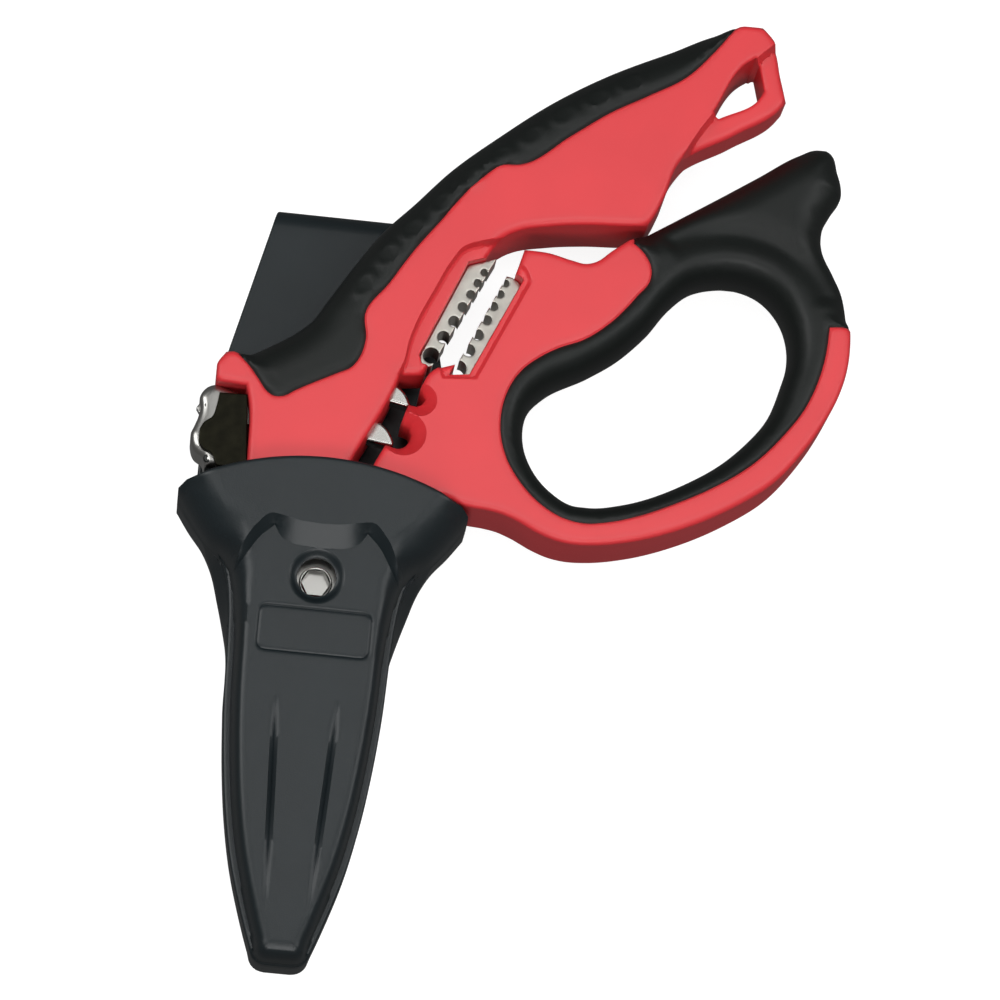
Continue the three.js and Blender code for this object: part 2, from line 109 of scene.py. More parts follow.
class ScissorSizes(bpy.types.PropertyGroup):
    """Sizes of the moulded and ground detail."""
    shell_edge: length("Shell edge", "Radius along the red shells' edges", 1.3)
    spine_width: length("Spine rounding", "How far in from its edge the upper grip is rounded", 7.0)
    spine_drop: length("Spine drop", "How far the upper grip falls away at its edge", 7.6)
    liner_width: length("Liner rounding", "How far in from the finger hole the liner is rounded", 4.6)
    seam_depth: length("Seam depth", "Depth of the line between red shell and grip", 0.45)
    grip_rise: length("Grip rise", "How far the grips stand above the red shells", 0.35)
    oval_rise: length("Oval rise", "Height of the ovals along the upper grip", 0.3)
    ledge_depth: length("Ledge depth", "How far the ledges beside the dies lie below the handle's face", 2.6)
    band_rise: length("Mouth band rise", "How far the sheath's mouth band stands above its panel", 2.4)
    groove_depth: length("Groove depth", "Depth of the two long grooves in the sheath", 0.9)
    plate_depth: length("Plate depth", "Depth of the blank plate recess in the sheath", 0.22)
    blade_bevel: length("Blade bevel", "Width of the ground bevel behind each cutting edge", 4.5)
    mesh_step: length("Mesh step", "Spacing of the mesh over the moulded faces", 0.85)


class ScissorColours(bpy.types.PropertyGroup):
    """Colours of the finishes."""
    red: colour("Red plastic", "Moulded handle shells", "#CC3036")
    grip: colour("Black elastomer", "Soft grips", "#070C0A")
    nylon: colour("Sheath nylon", "Sheath and belt clip", "#11191C")
    steel: colour("Ground steel", "Blades", "#B9B8B4")
    sintered: colour("Sintered steel", "Crimping dies", "#D6D3CA")
    polished: colour("Polished steel", "Bolt, nut and teeth", "#BDBCB8")
    plated: colour("Dark plated steel", "Pins and rivets", "#4A4B4A")
    oxide: colour("Black oxide steel", "Catch plate", "#1D1C12")
    floor: colour("Floor", "Studio floor", "#8C8C8B")


# ---- lines and distances in plan ----------------------------------------------------------


def curve_through(points, step, corner=40, closed=True):
    """A smooth line through the points, with a point about every step.

    Bends of more than `corner` degrees stay sharp.
    """
    p = np.array(points, float)
    ahead = np.roll(p, -1, 0) - p
    span = np.linalg.norm(ahead, axis=1)
    chord = ahead / span[:, None]
    behind = np.roll(chord, 1, 0)
    tangent = behind * span[:, None] + chord * np.roll(span, 1)[:, None]
    tangent /= np.linalg.norm(tangent, axis=1)[:, None] + 1e-9
    sharp = (behind * chord).sum(1) < math.cos(math.radians(corner))
    if not closed:
        sharp[[0, -1]] = True
    parts = []
    for i in range(len(p) if closed else len(p) - 1):
        j = (i + 1) % len(p)
        leave = chord[i] if sharp[i] else tangent[i]
        arrive = chord[i] if sharp[j] else tangent[j]
        count = max(1, round(span[i] / step))
        s = (np.arange(count) / count)[:, None]
        swing = (s ** 3 - 2 * s ** 2 + s) * leave + (s ** 3 - s ** 2) * arrive
        parts.append(p[i] + (3 * s ** 2 - 2 * s ** 3) * ahead[i] + swing * span[i])
    if not closed:
        parts.append(p[-1:])
    return np.clip(np.vstack(parts), p.min(0), p.max(0))


def circle(x, y, radius, count=48):
    """Points round a circle."""
    turn = np.arange(count) * 2 * math.pi / count
    return np.column_stack([x + radius * np.cos(turn), y + radius * np.sin(turn)])


def gap_to(points, line, closed=True):
    """Distance from every point to a line."""
    starts = line if closed else line[:-1]
    ends = np.roll(line, -1, 0) if closed else line[1:]
    best = np.full(len(points), np.inf)
    for start, end in zip(starts, ends):
        edge = end - start
        share = np.clip((points - start) @ edge / (edge @ edge + 1e-12), 0, 1)
        offset = points - start - share[:, None] * edge
        best = np.minimum(best, (offset ** 2).sum(1))
    return np.sqrt(best)


def inside(points, loop):
    """Whether each point lies inside a loop, by how often its rays cross it."""
    x, y = points.T
    odd = np.zeros(len(points), bool)
    for (x0, y0), (x1, y1) in zip(loop, np.roll(loop, -1, 0)):
        if y0 != y1:
            odd ^= ((y0 > y) != (y1 > y)) & (x < (x1 - x0) * (y - y0) / (y1 - y0) + x0)
    return odd


def depth_in(points, loop):
    """Distance to a loop, positive inside it."""
    return np.where(inside(points, loop), 1, -1) * gap_to(points, loop)


def ease(gap, width, drop):
    """How far a rounded edge has fallen at this distance from it: a quarter ellipse."""
    t = np.clip(1 - gap / width, 0, 1)
    return drop * (1 - np.sqrt(1 - t * t))


def ramp(value, low, high):
    """Smooth step from 0 at low to 1 at high."""
    t = np.clip((value - low) / (high - low), 0, 1)
    return t * t * (3 - 2 * t)


def read_table(rows, y):
    """Value at each y, read between (y, value) rows."""
    at, values = np.array(rows, float).T
    return np.interp(y, at, values)


# ---- meshes -------------------------------------------------------------------------------

EDGE_ROWS = (0.07, 0.22, 0.45, 0.75, 1.1, 1.6)  # mesh rows at these distances from an outline
CREASE_ROWS = (0.12, 0.35, 0.8)  # and from a crease
ROUNDING_SHARES = (0.07, 0.25, 0.5, 0.8, 1.1)  # and, as shares of its radius, from a plate's rounded edge
SHARP_ANGLE = 38  # degrees between faces, above which an edge is shaded sharp


def rows_beside(line, distances, closed):
    """Points beside a line, on both sides, at each distance."""
    if closed:
        along = np.roll(line, -1, 0) - np.roll(line, 1, 0)
    else:
        along = np.gradient(line, axis=0)
    along /= np.linalg.norm(along, axis=1)[:, None] + 1e-9
    across = np.column_stack([along[:, 1], -along[:, 0]])
    return [(d, np.vstack([line + across * d, line - across * d])) for d in distances]


def plan(outline, holes=(), creases=(), step=0.85, rows=EDGE_ROWS, cutouts=()):
    """Points and triangles over an outline, less its holes and cutouts, which may cross its edge.

    Mesh edges follow each loop and each crease, given as (line, closed).
    """
    lines = [(loop, True) for loop in (outline, *holes)] + list(creases) + [(loop, True) for loop in cutouts]
    points, edges = [], []
    for line, closed in lines:
        first = sum(len(p) for p in points)
        count = len(line)
        edges += [(first + i, first + (i + 1) % count) for i in range(count if closed else count - 1)]
        points.append(line)
    near, taken = [], []
    for place, (line, closed) in enumerate(lines):
        distances = rows if place == 0 else EDGE_ROWS if place <= len(holes) else CREASE_ROWS
        taken.append(distances[-1] + step * 0.5)
        others = [other for k, other in enumerate(lines) if k != place]
        for distance, row in rows_beside(line, distances, closed):
            row = row[gap_to(row, line, closed) > 0.93 * distance]
            clear = np.min([np.ones(len(row)), *(gap_to(row, *other) for other in others)], axis=0)
            near.append(row[clear > min(0.85 * distance, 0.3)])
    low, high = outline.min(0), outline.max(0)
    grid = []
    for k, y in enumerate(np.arange(low[1], high[1], step * 0.87)):
        x = np.arange(low[0] + (k % 2) * step / 2, high[0], step)
        grid.append(np.column_stack([x, np.full(len(x), y)]))
    grid = np.vstack(grid)
    clear = np.min([gap_to(grid, line, ring) - reach for (line, ring), reach in zip(lines, taken)], axis=0)
    near.append(grid[clear > 0])
    extra = np.vstack(near)
    extra = extra[inside(extra, outline)]
    every = np.vstack([*points, extra])
    result = delaunay_2d_cdt([Vector(p) for p in every], edges, [], 0, 1e-5)
    flat = np.array([tuple(v) for v in result[0]])
    triangles = np.array(result[2])
    middle = flat[triangles].mean(1)
    keep = inside(middle, outline)
    for hole in (*holes, *cutouts):
        keep &= ~inside(middle, hole)
    return flat, triangles[keep]


def new_piece(name, vertices, faces, sharp=SHARP_ANGLE):
    """An object from points in millimetres, its doubled points joined, shaded smooth between sharp edges."""
    mesh = bpy.data.meshes.new(name)
    mesh.from_pydata((np.asarray(vertices) * MM).tolist(), [], [list(map(int, face)) for face in faces])
    work = bmesh.new()
    work.from_mesh(mesh)
    bmesh.ops.remove_doubles(work, verts=work.verts, dist=1e-6)
    bmesh.ops.dissolve_degenerate(work, edges=work.edges, dist=1e-7)
    bmesh.ops.recalc_face_normals(work, faces=work.faces)
    work.to_mesh(mesh)
    work.free()
    piece = bpy.data.objects.new(name, mesh)
    bpy.context.scene.collection.objects.link(piece)
    smooth(piece, sharp)
    return piece


def smooth(piece, sharp=SHARP_ANGLE):
    """Smooth shading between sharp edges, with flat areas kept flat right up to their rounded borders."""
    piece.data.shade_smooth()
    piece.data.set_sharp_from_angle(angle=math.radians(sharp))
    even = piece.modifiers.new("even_shading", "WEIGHTED_NORMAL")
    even.mode = "FACE_AREA_WITH_ANGLE"
    even.keep_sharp = True


def slab(name, flat, triangles, top, bottom, sharp=SHARP_ANGLE):
    """A closed piece over triangles in plan, between two heights given at every point."""
    used, index = np.unique(triangles, return_inverse=True)
    tri = index.reshape(-1, 3)
    flat, top, bottom = flat[used], top[used], bottom[used]
    count = len(used)
    directed = {(int(a), int(b)) for t in tri for a, b in ((t[0], t[1]), (t[1], t[2]), (t[2], t[0]))}
    walls = [(b, a, a + count, b + count) for a, b in sorted(directed) if (b, a) not in directed]
    vertices = np.vstack([np.column_stack([flat, top]), np.column_stack([flat, bottom])])
    faces = [tuple(t) for t in tri] + [tuple(t[::-1] + count) for t in tri] + walls
    return new_piece(name, vertices, faces, sharp)


def plate(name, outline, low, high, rounding, holes=(), step=0.85):
    """A flat piece of even thickness with rounded edges."""
    rows = tuple(rounding * share for share in ROUNDING_SHARES)
    flat, triangles = plan(outline, holes, step=step, rows=rows)
    gap = np.min([gap_to(flat, loop) for loop in (outline, *holes)], axis=0)
    drop = ease(gap, rounding, rounding)
    return slab(name, flat, triangles, high - drop, low + drop)


def cut(piece, *cutters):
    """Takes the cutters away from the piece and removes them."""
    piece.modifiers.clear()
    for cutter in cutters:
        modifier = piece.modifiers.new("cut", "BOOLEAN")
        modifier.operation = "DIFFERENCE"
        modifier.solver = "EXACT"
        modifier.object = cutter
    bpy.context.view_layer.update()
    shown = piece.evaluated_get(bpy.context.evaluated_depsgraph_get())
    mesh = bpy.data.meshes.new_from_object(shown)
    piece.modifiers.clear()
    piece.data = mesh
    for cutter in cutters:
        bpy.data.objects.remove(cutter)
    if not mesh.polygons:
        raise RuntimeError(f"{piece.name} is empty after its cuts")
    smooth(piece)
    return piece


def strip_faces(rings, sides):
    """Four-sided faces between rings of points that follow one another."""
    faces = []
    for s in range(rings - 1):
        for i in range(sides):
            j = (i + 1) % sides
            faces.append((s * sides + i, s * sides + j, (s + 1) * sides + j, (s + 1) * sides + i))
    return faces


def rod(name, x, y, radius, low, high, sides=40):
    """A plain prism to cut with."""
    ring = circle(x, y, radius, sides)
    vertices = np.vstack([np.column_stack([ring, np.full(sides, z)]) for z in (low, high)])
    walls = strip_faces(2, sides)
    return new_piece(name, vertices, [tuple(range(sides)), tuple(range(sides, 2 * sides)), *walls])


def turned(name, x, y, profile, sides=48):
    """A lathe-turned piece from (radius, height) rows that start and end on the axis."""
    rings = []
    for radius, z in profile:
        ring = circle(x, y, max(radius, 1e-4), sides)
        rings.append(np.column_stack([ring, np.full(sides, z)]))
    return new_piece(name, np.vstack(rings), strip_faces(len(rings), sides))


def place(piece, body, slot, *nodes):
    """Hangs the piece on its body, gives it its slot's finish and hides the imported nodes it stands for."""
    piece.data.materials.clear()
    piece.data.materials.append(material_for(slot))
    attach(piece, body)
    if nodes:
        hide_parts(*nodes)
    return piece


# ---- finishes -----------------------------------------------------------------------------


def add_node(tree, kind, settings=None, links=None):
    """Adds a node, sets its properties or inputs, and feeds its inputs from other nodes' sockets."""
    made = tree.nodes.new(kind)
    for key, value in (settings or {}).items():
        if key in made.inputs:
            made.inputs[key].default_value = value
        else:
            setattr(made, key, value)
    for key, source in (links or {}).items():
        tree.links.new(source, made.inputs[key])
    return made


def finish(name, tone, shader, grain_mm, relief_mm, shade=0.12, cloud_mm=14, gloss=0.06, stretch=(1, 1, 1)):
    """A surface with a fine grain in relief, a faint cloudiness in colour and an uneven gloss.

    grain_mm is the grain's spacing, relief_mm its height and cloud_mm the size of the colour patches.
    A stretch below 1 draws the pattern out along that axis. A grain that is too fine to show is drawn
    as coarse as it needs to show. Each finish says how fine such a grain usually is; none was measured.
    """
    material = bpy.data.materials.new(name)
    material.use_nodes = True
    tree = material.node_tree
    tree.nodes.clear()
    where = add_node(tree, "ShaderNodeTexCoord")
    mapped = add_node(tree, "ShaderNodeMapping", {"Scale": stretch}, {"Vector": where.outputs["Object"]})
    grain = add_node(tree, "ShaderNodeTexNoise",
                     {"Scale": 1 / (grain_mm * MM), "Detail": 3.0, "Roughness": 0.6},
                     {"Vector": mapped.outputs["Vector"]})
    cloud = add_node(tree, "ShaderNodeTexNoise", {"Scale": 1 / (cloud_mm * MM), "Detail": 2.0},
                     {"Vector": mapped.outputs["Vector"]})
    tint = add_node(tree, "ShaderNodeValToRGB", links={"Fac": cloud.outputs["Fac"]})
    for stop, position, gain in zip(tint.color_ramp.elements, (0.3, 0.7), (1 - shade, 1 + shade)):
        stop.position = position
        stop.color = (*(min(1, c * gain) for c in tone), 1)
    rough = shader["Roughness"]
    uneven = add_node(tree, "ShaderNodeMapRange", {"To Min": rough - gloss, "To Max": rough + gloss},
                      {"Value": grain.outputs["Fac"]})
    bump = add_node(tree, "ShaderNodeBump", {"Strength": 1.0, "Distance": relief_mm * MM},
                    {"Height": grain.outputs["Fac"]})
    surface = add_node(tree, "ShaderNodeBsdfPrincipled", shader, {
        "Base Color": tint.outputs["Color"],
        "Roughness": uneven.outputs["Result"],
        "Normal": bump.outputs["Normal"],
    })
    add_node(tree, "ShaderNodeOutputMaterial", links={"Surface": surface.outputs["BSDF"]})
    return material


_made = {}


def material_for(slot):
    """The finish of one of the record's material slots, made once."""
    if slot not in _made:
        _made[slot] = FINISHES[slot](bpy.context.scene.scissor_colours)
    return _made[slot]


def satin_abs(colours):
    """Injection-moulded ABS from a lightly textured tool: a broad, soft sheen over saturated red.

    Such a texture is usually about 0.1 mm and is drawn coarser, so that it shows.
    """
    return finish("satin_moulded_abs", colours.red, {"Roughness": 0.42, "IOR": 1.53},
                  grain_mm=0.35, relief_mm=0.012, shade=0.03)


def matte_elastomer(colours):
    """Overmoulded thermoplastic elastomer: near black, with a wide dull sheen and a fine grain.

    Such a grain is usually about 0.1 mm and is drawn coarser, so that it shows.
    """
    return finish("matte_tpe_elastomer", colours.grip, {"Roughness": 0.5, "IOR": 1.5},
                  grain_mm=0.3, relief_mm=0.02, shade=0.15)


def spark_nylon(colours):
    """Glass-filled nylon from a spark-eroded tool: fine even pits that break up a satin gloss.

    Such pits are usually about 0.1 mm and are drawn coarser, so that they show.
    """
    return finish("spark_textured_nylon", colours.nylon, {"Roughness": 0.4, "IOR": 1.53},
                  grain_mm=0.28, relief_mm=0.022, shade=0.1)


def ground_steel(colours):
    """Surface-ground stainless steel: long fine scratches that run one way along the blade.

    Such scratches usually lie a few hundredths of a millimetre apart and are drawn wider, so that they show.
    """
    return finish("ground_stainless_steel", colours.steel, {"Roughness": 0.3, "Metallic": 1.0},
                  grain_mm=0.25, relief_mm=0.004, shade=0.05, stretch=(1, 0.04, 1))


def sintered_steel(colours):
    """Sintered steel with its faces ground: dull, faintly speckled by pores.

    Such pores are usually about 0.05 mm and are drawn coarser, so that they show.
    """
    return finish("sintered_steel", colours.sintered, {"Roughness": 0.34, "Metallic": 1.0},
                  grain_mm=0.3, relief_mm=0.01, shade=0.1, cloud_mm=3)


def polished_steel(colours):
    """Turned and polished steel: bright, with faint polishing marks.

    Such marks are usually about 0.05 mm wide and are drawn coarser, so that they show.
    """
    return finish("polished_steel", colours.polished, {"Roughness": 0.2, "Metallic": 1.0},
                  grain_mm=0.4, relief_mm=0.002, shade=0.05)


def plated_steel(colours):
    """Steel with dark zinc plating: grey with a soft glint.

    The grain of such a plating is usually about 0.02 mm and is drawn coarser, so that it shows.
    """
    return finish("dark_zinc_plated_steel", colours.plated, {"Roughness": 0.32, "Metallic": 1.0},
                  grain_mm=0.2, relief_mm=0.004)


def oxide_steel(colours):
    """Pressed steel with black oxide: an oily, slightly olive black in uneven patches.

    Such a grain is usually about 0.05 mm and is drawn coarser, so that it shows.
    """
    return finish("black_oxide_steel", colours.oxide, {"Roughness": 0.38, "Metallic": 0.85},
                  grain_mm=0.25, relief_mm=0.01, shade=0.25, cloud_mm=2)


FINISHES = {
    "red_plastic": satin_abs,
    "black_grip": matte_elastomer,
    "sheath_nylon": spark_nylon,
    "blade_steel": ground_steel,
    "die_steel": sintered_steel,
    "bright_steel": polished_steel,
    "dark_steel": plated_steel,
    "black_steel": oxide_steel,
}


# ---- sheath -------------------------------------------------------------------------------

# Half-width of the front shell's rim and of the back shell, as (y, half) rows.
RIM_HALF = [
    (-76.3, 2.6), (-76, 4), (-75, 5.3), (-72.7, 6.2), (-65.6, 8.7), (-57.3, 11.2), (-46.7, 13.4),
    (-38, 14.6), (-26, 15.7), (-12, 16.3), (-5, 16.8), (0.2, 17.7), (3, 18.8), (4.2, 20), (5.8, 22.1),
    (10.6, 26.1), (14.6, 28.9),
]
BACK_HALF = [
    (-76.3, 2.6), (-76, 4), (-75, 5.3), (-72.7, 6.2), (-65.6, 8.7), (-57.3, 11.2), (-46.7, 13.4),
    (-38, 14.6), (-26, 15.7), (-12, 16.6), (-10, 17.1), (-3.2, 19), (3, 21), (6.6, 22.9), (10.6, 26.1),
    (14.6, 28.9),
]
# Width of the flat flange and of the rounding inside it, as (y, width) rows.
FLANGE = [(-76.3, 0.3), (-72, 1.0), (-60, 1.4), (-12, 1.5), (0, 0.9), (6, 0.12), (26, 0.12)]
ROUNDING = [(-76.3, 2.6), (-60, 2.1), (-12, 2.1), (-3, 3.2), (3, 5), (9, 8.2), (26, 8.2)]
RIM_ROWS = (0.12, 0.35, 0.7, 1.05, 1.35, 1.55, 1.8, 2.1, 2.4, 2.9, 3.6, 4.6, 5.8)
FLANGE_Z = 10.4
MOUTH_CORNERS = [(28.9, 15.8), (27.4, 16.9)]
MOUTH_ARCH_R = 57.7
MOUTH_ARCH_HALF = 25
MOUTH_TOP_Y = 23.6
# Head and foot of the step below the mouth band.
STEP_HEAD = [(16.4, 0.5), (15.3, 4.3), (12.8, 8.7), (9.9, 11.2), (8.2, 11), (4.5, 10.3), (0, 10)]
STEP_FOOT = [
    (16.2, 0.4), (14.1, 3.4), (11.7, 7), (9.2, 9.4), (7.8, 7.2), (5.8, 6.1), (3, 5.7), (0, 5.6),
]
STEP_REACH = 16.4  # how far out from the middle the step's creases run in the mesh
STEP_BEYOND = 18  # and how far its lines run when distances are measured from them
SIDE_BLEND_X = (14.8, 17.2)  # where the step gives way to an even rise along the sides
SIDE_RISE_Y = (-9, 9)
GROOVES = [((-5.7, -24), (-3.7, -67)), ((6.6, -24), (4.7, -67))]
GROOVE_HALF = 0.75
PLATE_MIDDLE = (0.5, -11)
PLATE_HALF = (11.1, 4.5)
PLATE_CORNER_R = 1.6
PLATE_LINE = 0.3  # half-width of the line pressed round the blank plate
WINDOW = (0, 0)
WINDOW_R = 3.9
SINK_R = 5.7
SINK_DEPTH = 1.2
TIP_Y = -76.3
TIP_Z = 16.6
PANEL_RISE = 0.042
HOLLOW_RISE = 2.4  # the hollow's ceiling steps up under the mouth band
HOLLOW_RISE_Y = (9, 13)


def panel_z(y):
    """Front face of the sheath: it rises slowly from the tip to the mouth."""
    return TIP_Z + (y - TIP_Y) * PANEL_RISE


def mouth_arch():
    """The arched top edge of the mouth, from right to left."""
    turn = np.linspace(1, -1, 41) * math.asin(MOUTH_ARCH_HALF / MOUTH_ARCH_R)
    return np.column_stack([MOUTH_ARCH_R * np.sin(turn), MOUTH_TOP_Y - MOUTH_ARCH_R * (1 - np.cos(turn))])


def sheath_outline(rows):
    """Closed outline of a shell, and its sides and tip as one open line."""
    right = curve_through([(half, y) for y, half in rows], 0.9, corner=60, closed=False)
    left = right[::-1] * (-1, 1)
    corners = np.array(MOUTH_CORNERS)
    outline = np.vstack([right, corners, mouth_arch(), corners[::-1] * (-1, 1), left])
    return outline, np.vstack([left, right])


def step_line(points, far):
    """The full width of a step line, mirrored, run out past the sides."""
    half = curve_through(points, 0.8, corner=50, closed=False)
    return np.vstack([[(far, half[0][1])], half, half[::-1][1:] * (-1, 1), [(-far, half[0][1])]])


def above(points, line):
    """Whether each point lies above a line that runs from right to left."""
    order = np.argsort(line[:, 0], kind="stable")
    return points[:, 1] > np.interp(points[:, 0], line[order, 0], line[order, 1])


def band_share(points):
    """0 on the panel, 1 on the mouth band, between the two on the step."""
    head, foot = step_line(STEP_HEAD, STEP_BEYOND), step_line(STEP_FOOT, STEP_BEYOND)
    to_head, to_foot = gap_to(points, head, False), gap_to(points, foot, False)
    share = to_foot / (to_head + to_foot + 1e-9)
    share = np.where(above(points, head), 1, np.where(above(points, foot), share, 0))
    at_sides = ramp(points[:, 1], *SIDE_RISE_Y)
    blend = ramp(np.abs(points[:, 0]), *SIDE_BLEND_X)
    return share * (1 - blend) + at_sides * blend


def rounded_box(middle, half, radius):
    """A rectangle's outline with rounded corners."""
    (x, y), (w, h) = middle, half
    corners = []
    for sx, sy, start in ((1, 1, 0), (-1, 1, 90), (-1, -1, 180), (1, -1, 270)):
        turn = np.radians(start + np.linspace(0, 90, 7))
        centre = np.array([x + sx * (w - radius), y + sy * (h - radius)])
        corners.append(centre + radius * np.column_stack([np.cos(turn), np.sin(turn)]))
    return np.vstack(corners)


def plate_outline():
    """The blank plate's rounded outline, at even steps."""
    loop = rounded_box(PLATE_MIDDLE, PLATE_HALF, PLATE_CORNER_R)
    loop = np.vstack([loop, loop[:1]])
    run = np.concatenate([[0], np.cumsum(np.linalg.norm(np.diff(loop, axis=0), axis=1))])
    at = np.arange(0, run[-1] - 0.3, 0.6)
    return np.column_stack([np.interp(at, run, loop[:, k]) for k in (0, 1)])


def front_top(points, sizes):
    """Height of the front shell's face before its edges are rounded."""
    x, y = points.T
    top = panel_z(y) + sizes.band_rise / MM * band_share(points)
    for start, end in GROOVES:
        line = np.array([start, end], float)
        along = np.clip((start[1] - y) / (start[1] - end[1]), 0, 1)
        swell = np.sin(math.pi * along ** 0.8)
        depth = np.clip(1 - gap_to(points, line, False) / GROOVE_HALF, 0, 1)
        top -= sizes.groove_depth / MM * depth * swell
    in_plate = depth_in(points, plate_outline())
    top -= sizes.plate_depth / MM * (ramp(in_plate, -0.1, 0.1) + np.exp(-(in_plate / PLATE_LINE) ** 2))
    from_window = np.hypot(x - WINDOW[0], y - WINDOW[1])
    return top - SINK_DEPTH * ramp(SINK_R - from_window, 0, SINK_R - WINDOW_R)


def hollow_top(y, gap):
    """Height of the hollow's ceiling at a distance in from the rim."""
    ceiling = panel_z(y) + HOLLOW_RISE * ramp(y, *HOLLOW_RISE_Y) - WALL
    fall = ease(np.maximum(gap - WALL, 0), read_table(ROUNDING, y), ceiling - SPLIT_Z)
    return np.where(gap < WALL, SPLIT_Z, ceiling - fall)


RIVETS = ("clip_rivet_left", "clip_rivet_right")
RIVET_SHANK_R = 1.6
RIVET_HEAD_R = 3.2
RIVET_HEAD_T = 0.8
RIVET_ROOM = 0.3  # clearance round a rivet
SKIRT_FALL = 5.5  # how far the skirt behind the shoulders slopes back
SHELL_GAP = 0.3  # line between the two shells


def rivet_place(name):
    """Middle of a rivet in plan."""
    low, high = box_mm(name)
    return (low[:2] + high[:2]) / 2


class SheathFrontOperator(bpy.types.Operator):
    """Front shell of the sheath, with its mouth band, grooves, blank plate and bolt window"""
    bl_idname = "scissors.sheath_front"
    bl_label = "Sheath Front Shell"

    def execute(self, context):
        sizes = context.scene.scissor_sizes
        outline, sides = sheath_outline(RIM_HALF)
        creases = [(step_line(line, STEP_REACH), False) for line in (STEP_HEAD, STEP_FOOT)]
        creases += [(curve_through(groove, 0.8, closed=False), False) for groove in GROOVES]
        creases.append((circle(*WINDOW, SINK_R), True))
        creases.append((plate_outline(), True))
        flat, triangles = plan(outline, [circle(*WINDOW, WINDOW_R)], creases, sizes.mesh_step / MM, RIM_ROWS)
        y = flat[:, 1]
        gap = gap_to(flat, sides, False)
        top = front_top(flat, sizes)
        inner = gap - read_table(FLANGE, y)
        foot = FLANGE_Z - ease(gap, 0.6, 0.6)
        body = top - ease(np.maximum(inner, 0), read_table(ROUNDING, y), top - FLANGE_Z)
        at_mouth = gap_to(flat, mouth_arch(), False)
        high = np.where(inner < 0, foot, np.maximum(body, foot)) - ease(at_mouth, 0.7, 0.7)
        shell = slab("sheath_front", flat, triangles, high, hollow_top(y, gap))
        place(shell, "sheath", "sheath_nylon", "sheath_front_shell")
        return {"FINISHED"}


class SheathBackOperator(bpy.types.Operator):
    """Back shell of the sheath, which widens into a sloped skirt behind the shoulders"""
    bl_idname = "scissors.sheath_back"
    bl_label = "Sheath Back Shell"

    def execute(self, context):
        outline, sides = sheath_outline(BACK_HALF)
        seats = [rivet_place(name) for name in RIVETS]
        holes = [circle(*seat, RIVET_SHANK_R + RIVET_ROOM, 32) for seat in seats]
        sinks = [circle(*seat, RIVET_HEAD_R + RIVET_ROOM, 40) for seat in seats]
        flat, triangles = plan(outline, holes, [(sink, True) for sink in sinks], step=1.4, rows=RIM_ROWS)
        gap = gap_to(flat, sides, False)
        skirt = np.maximum(read_table(BACK_HALF, flat[:, 1]) - read_table(RIM_HALF, flat[:, 1]), 0.05)
        slope = SKIRT_FALL * np.clip(1 - gap / skirt, 0, 1) * np.clip(skirt, 0, 1)
        rim = SPLIT_Z - SHELL_GAP - slope - ease(gap, 0.5, 0.5)
        high = rim + (WALL - rim) * ramp(gap - skirt, WALL - 0.1, WALL + 0.15)
        for sink in sinks:
            high -= (RIVET_HEAD_T + RIVET_ROOM) * ramp(depth_in(flat, sink), -0.05, 0.05)
        shell = slab("sheath_back", flat, triangles, high, ease(gap, 0.8, 0.8))
        place(shell, "sheath", "sheath_nylon", "sheath_back_shell")
        return {"FINISHED"}


# ---- belt clip ----------------------------------------------------------------------------

CLIP_TOP_HALF = 14.5
CLIP_FLARE = 0.232  # how much wider the leaf gets on each side for every millimetre down
CLIP_MAX_HALF = 25.5
CLIP_FOOT_HALF = 19
CLIP_FOOT_FLARE = 0.9
TONGUE_HALF = [(15, 5.5), (16.5, 9), (20, 11), (30, 12.5), (76, 14)]
TONGUE_END_Y = 15.2
LEAF_T = 2.0
TONGUE_T = 1.8
SINK_FROM_BACK = 7.7  # from the clip's back to the floor of the sinks for the rivets' heads
SEAT_CUT = (-4, 1)  # heights that the cut for a rivet's shank runs between


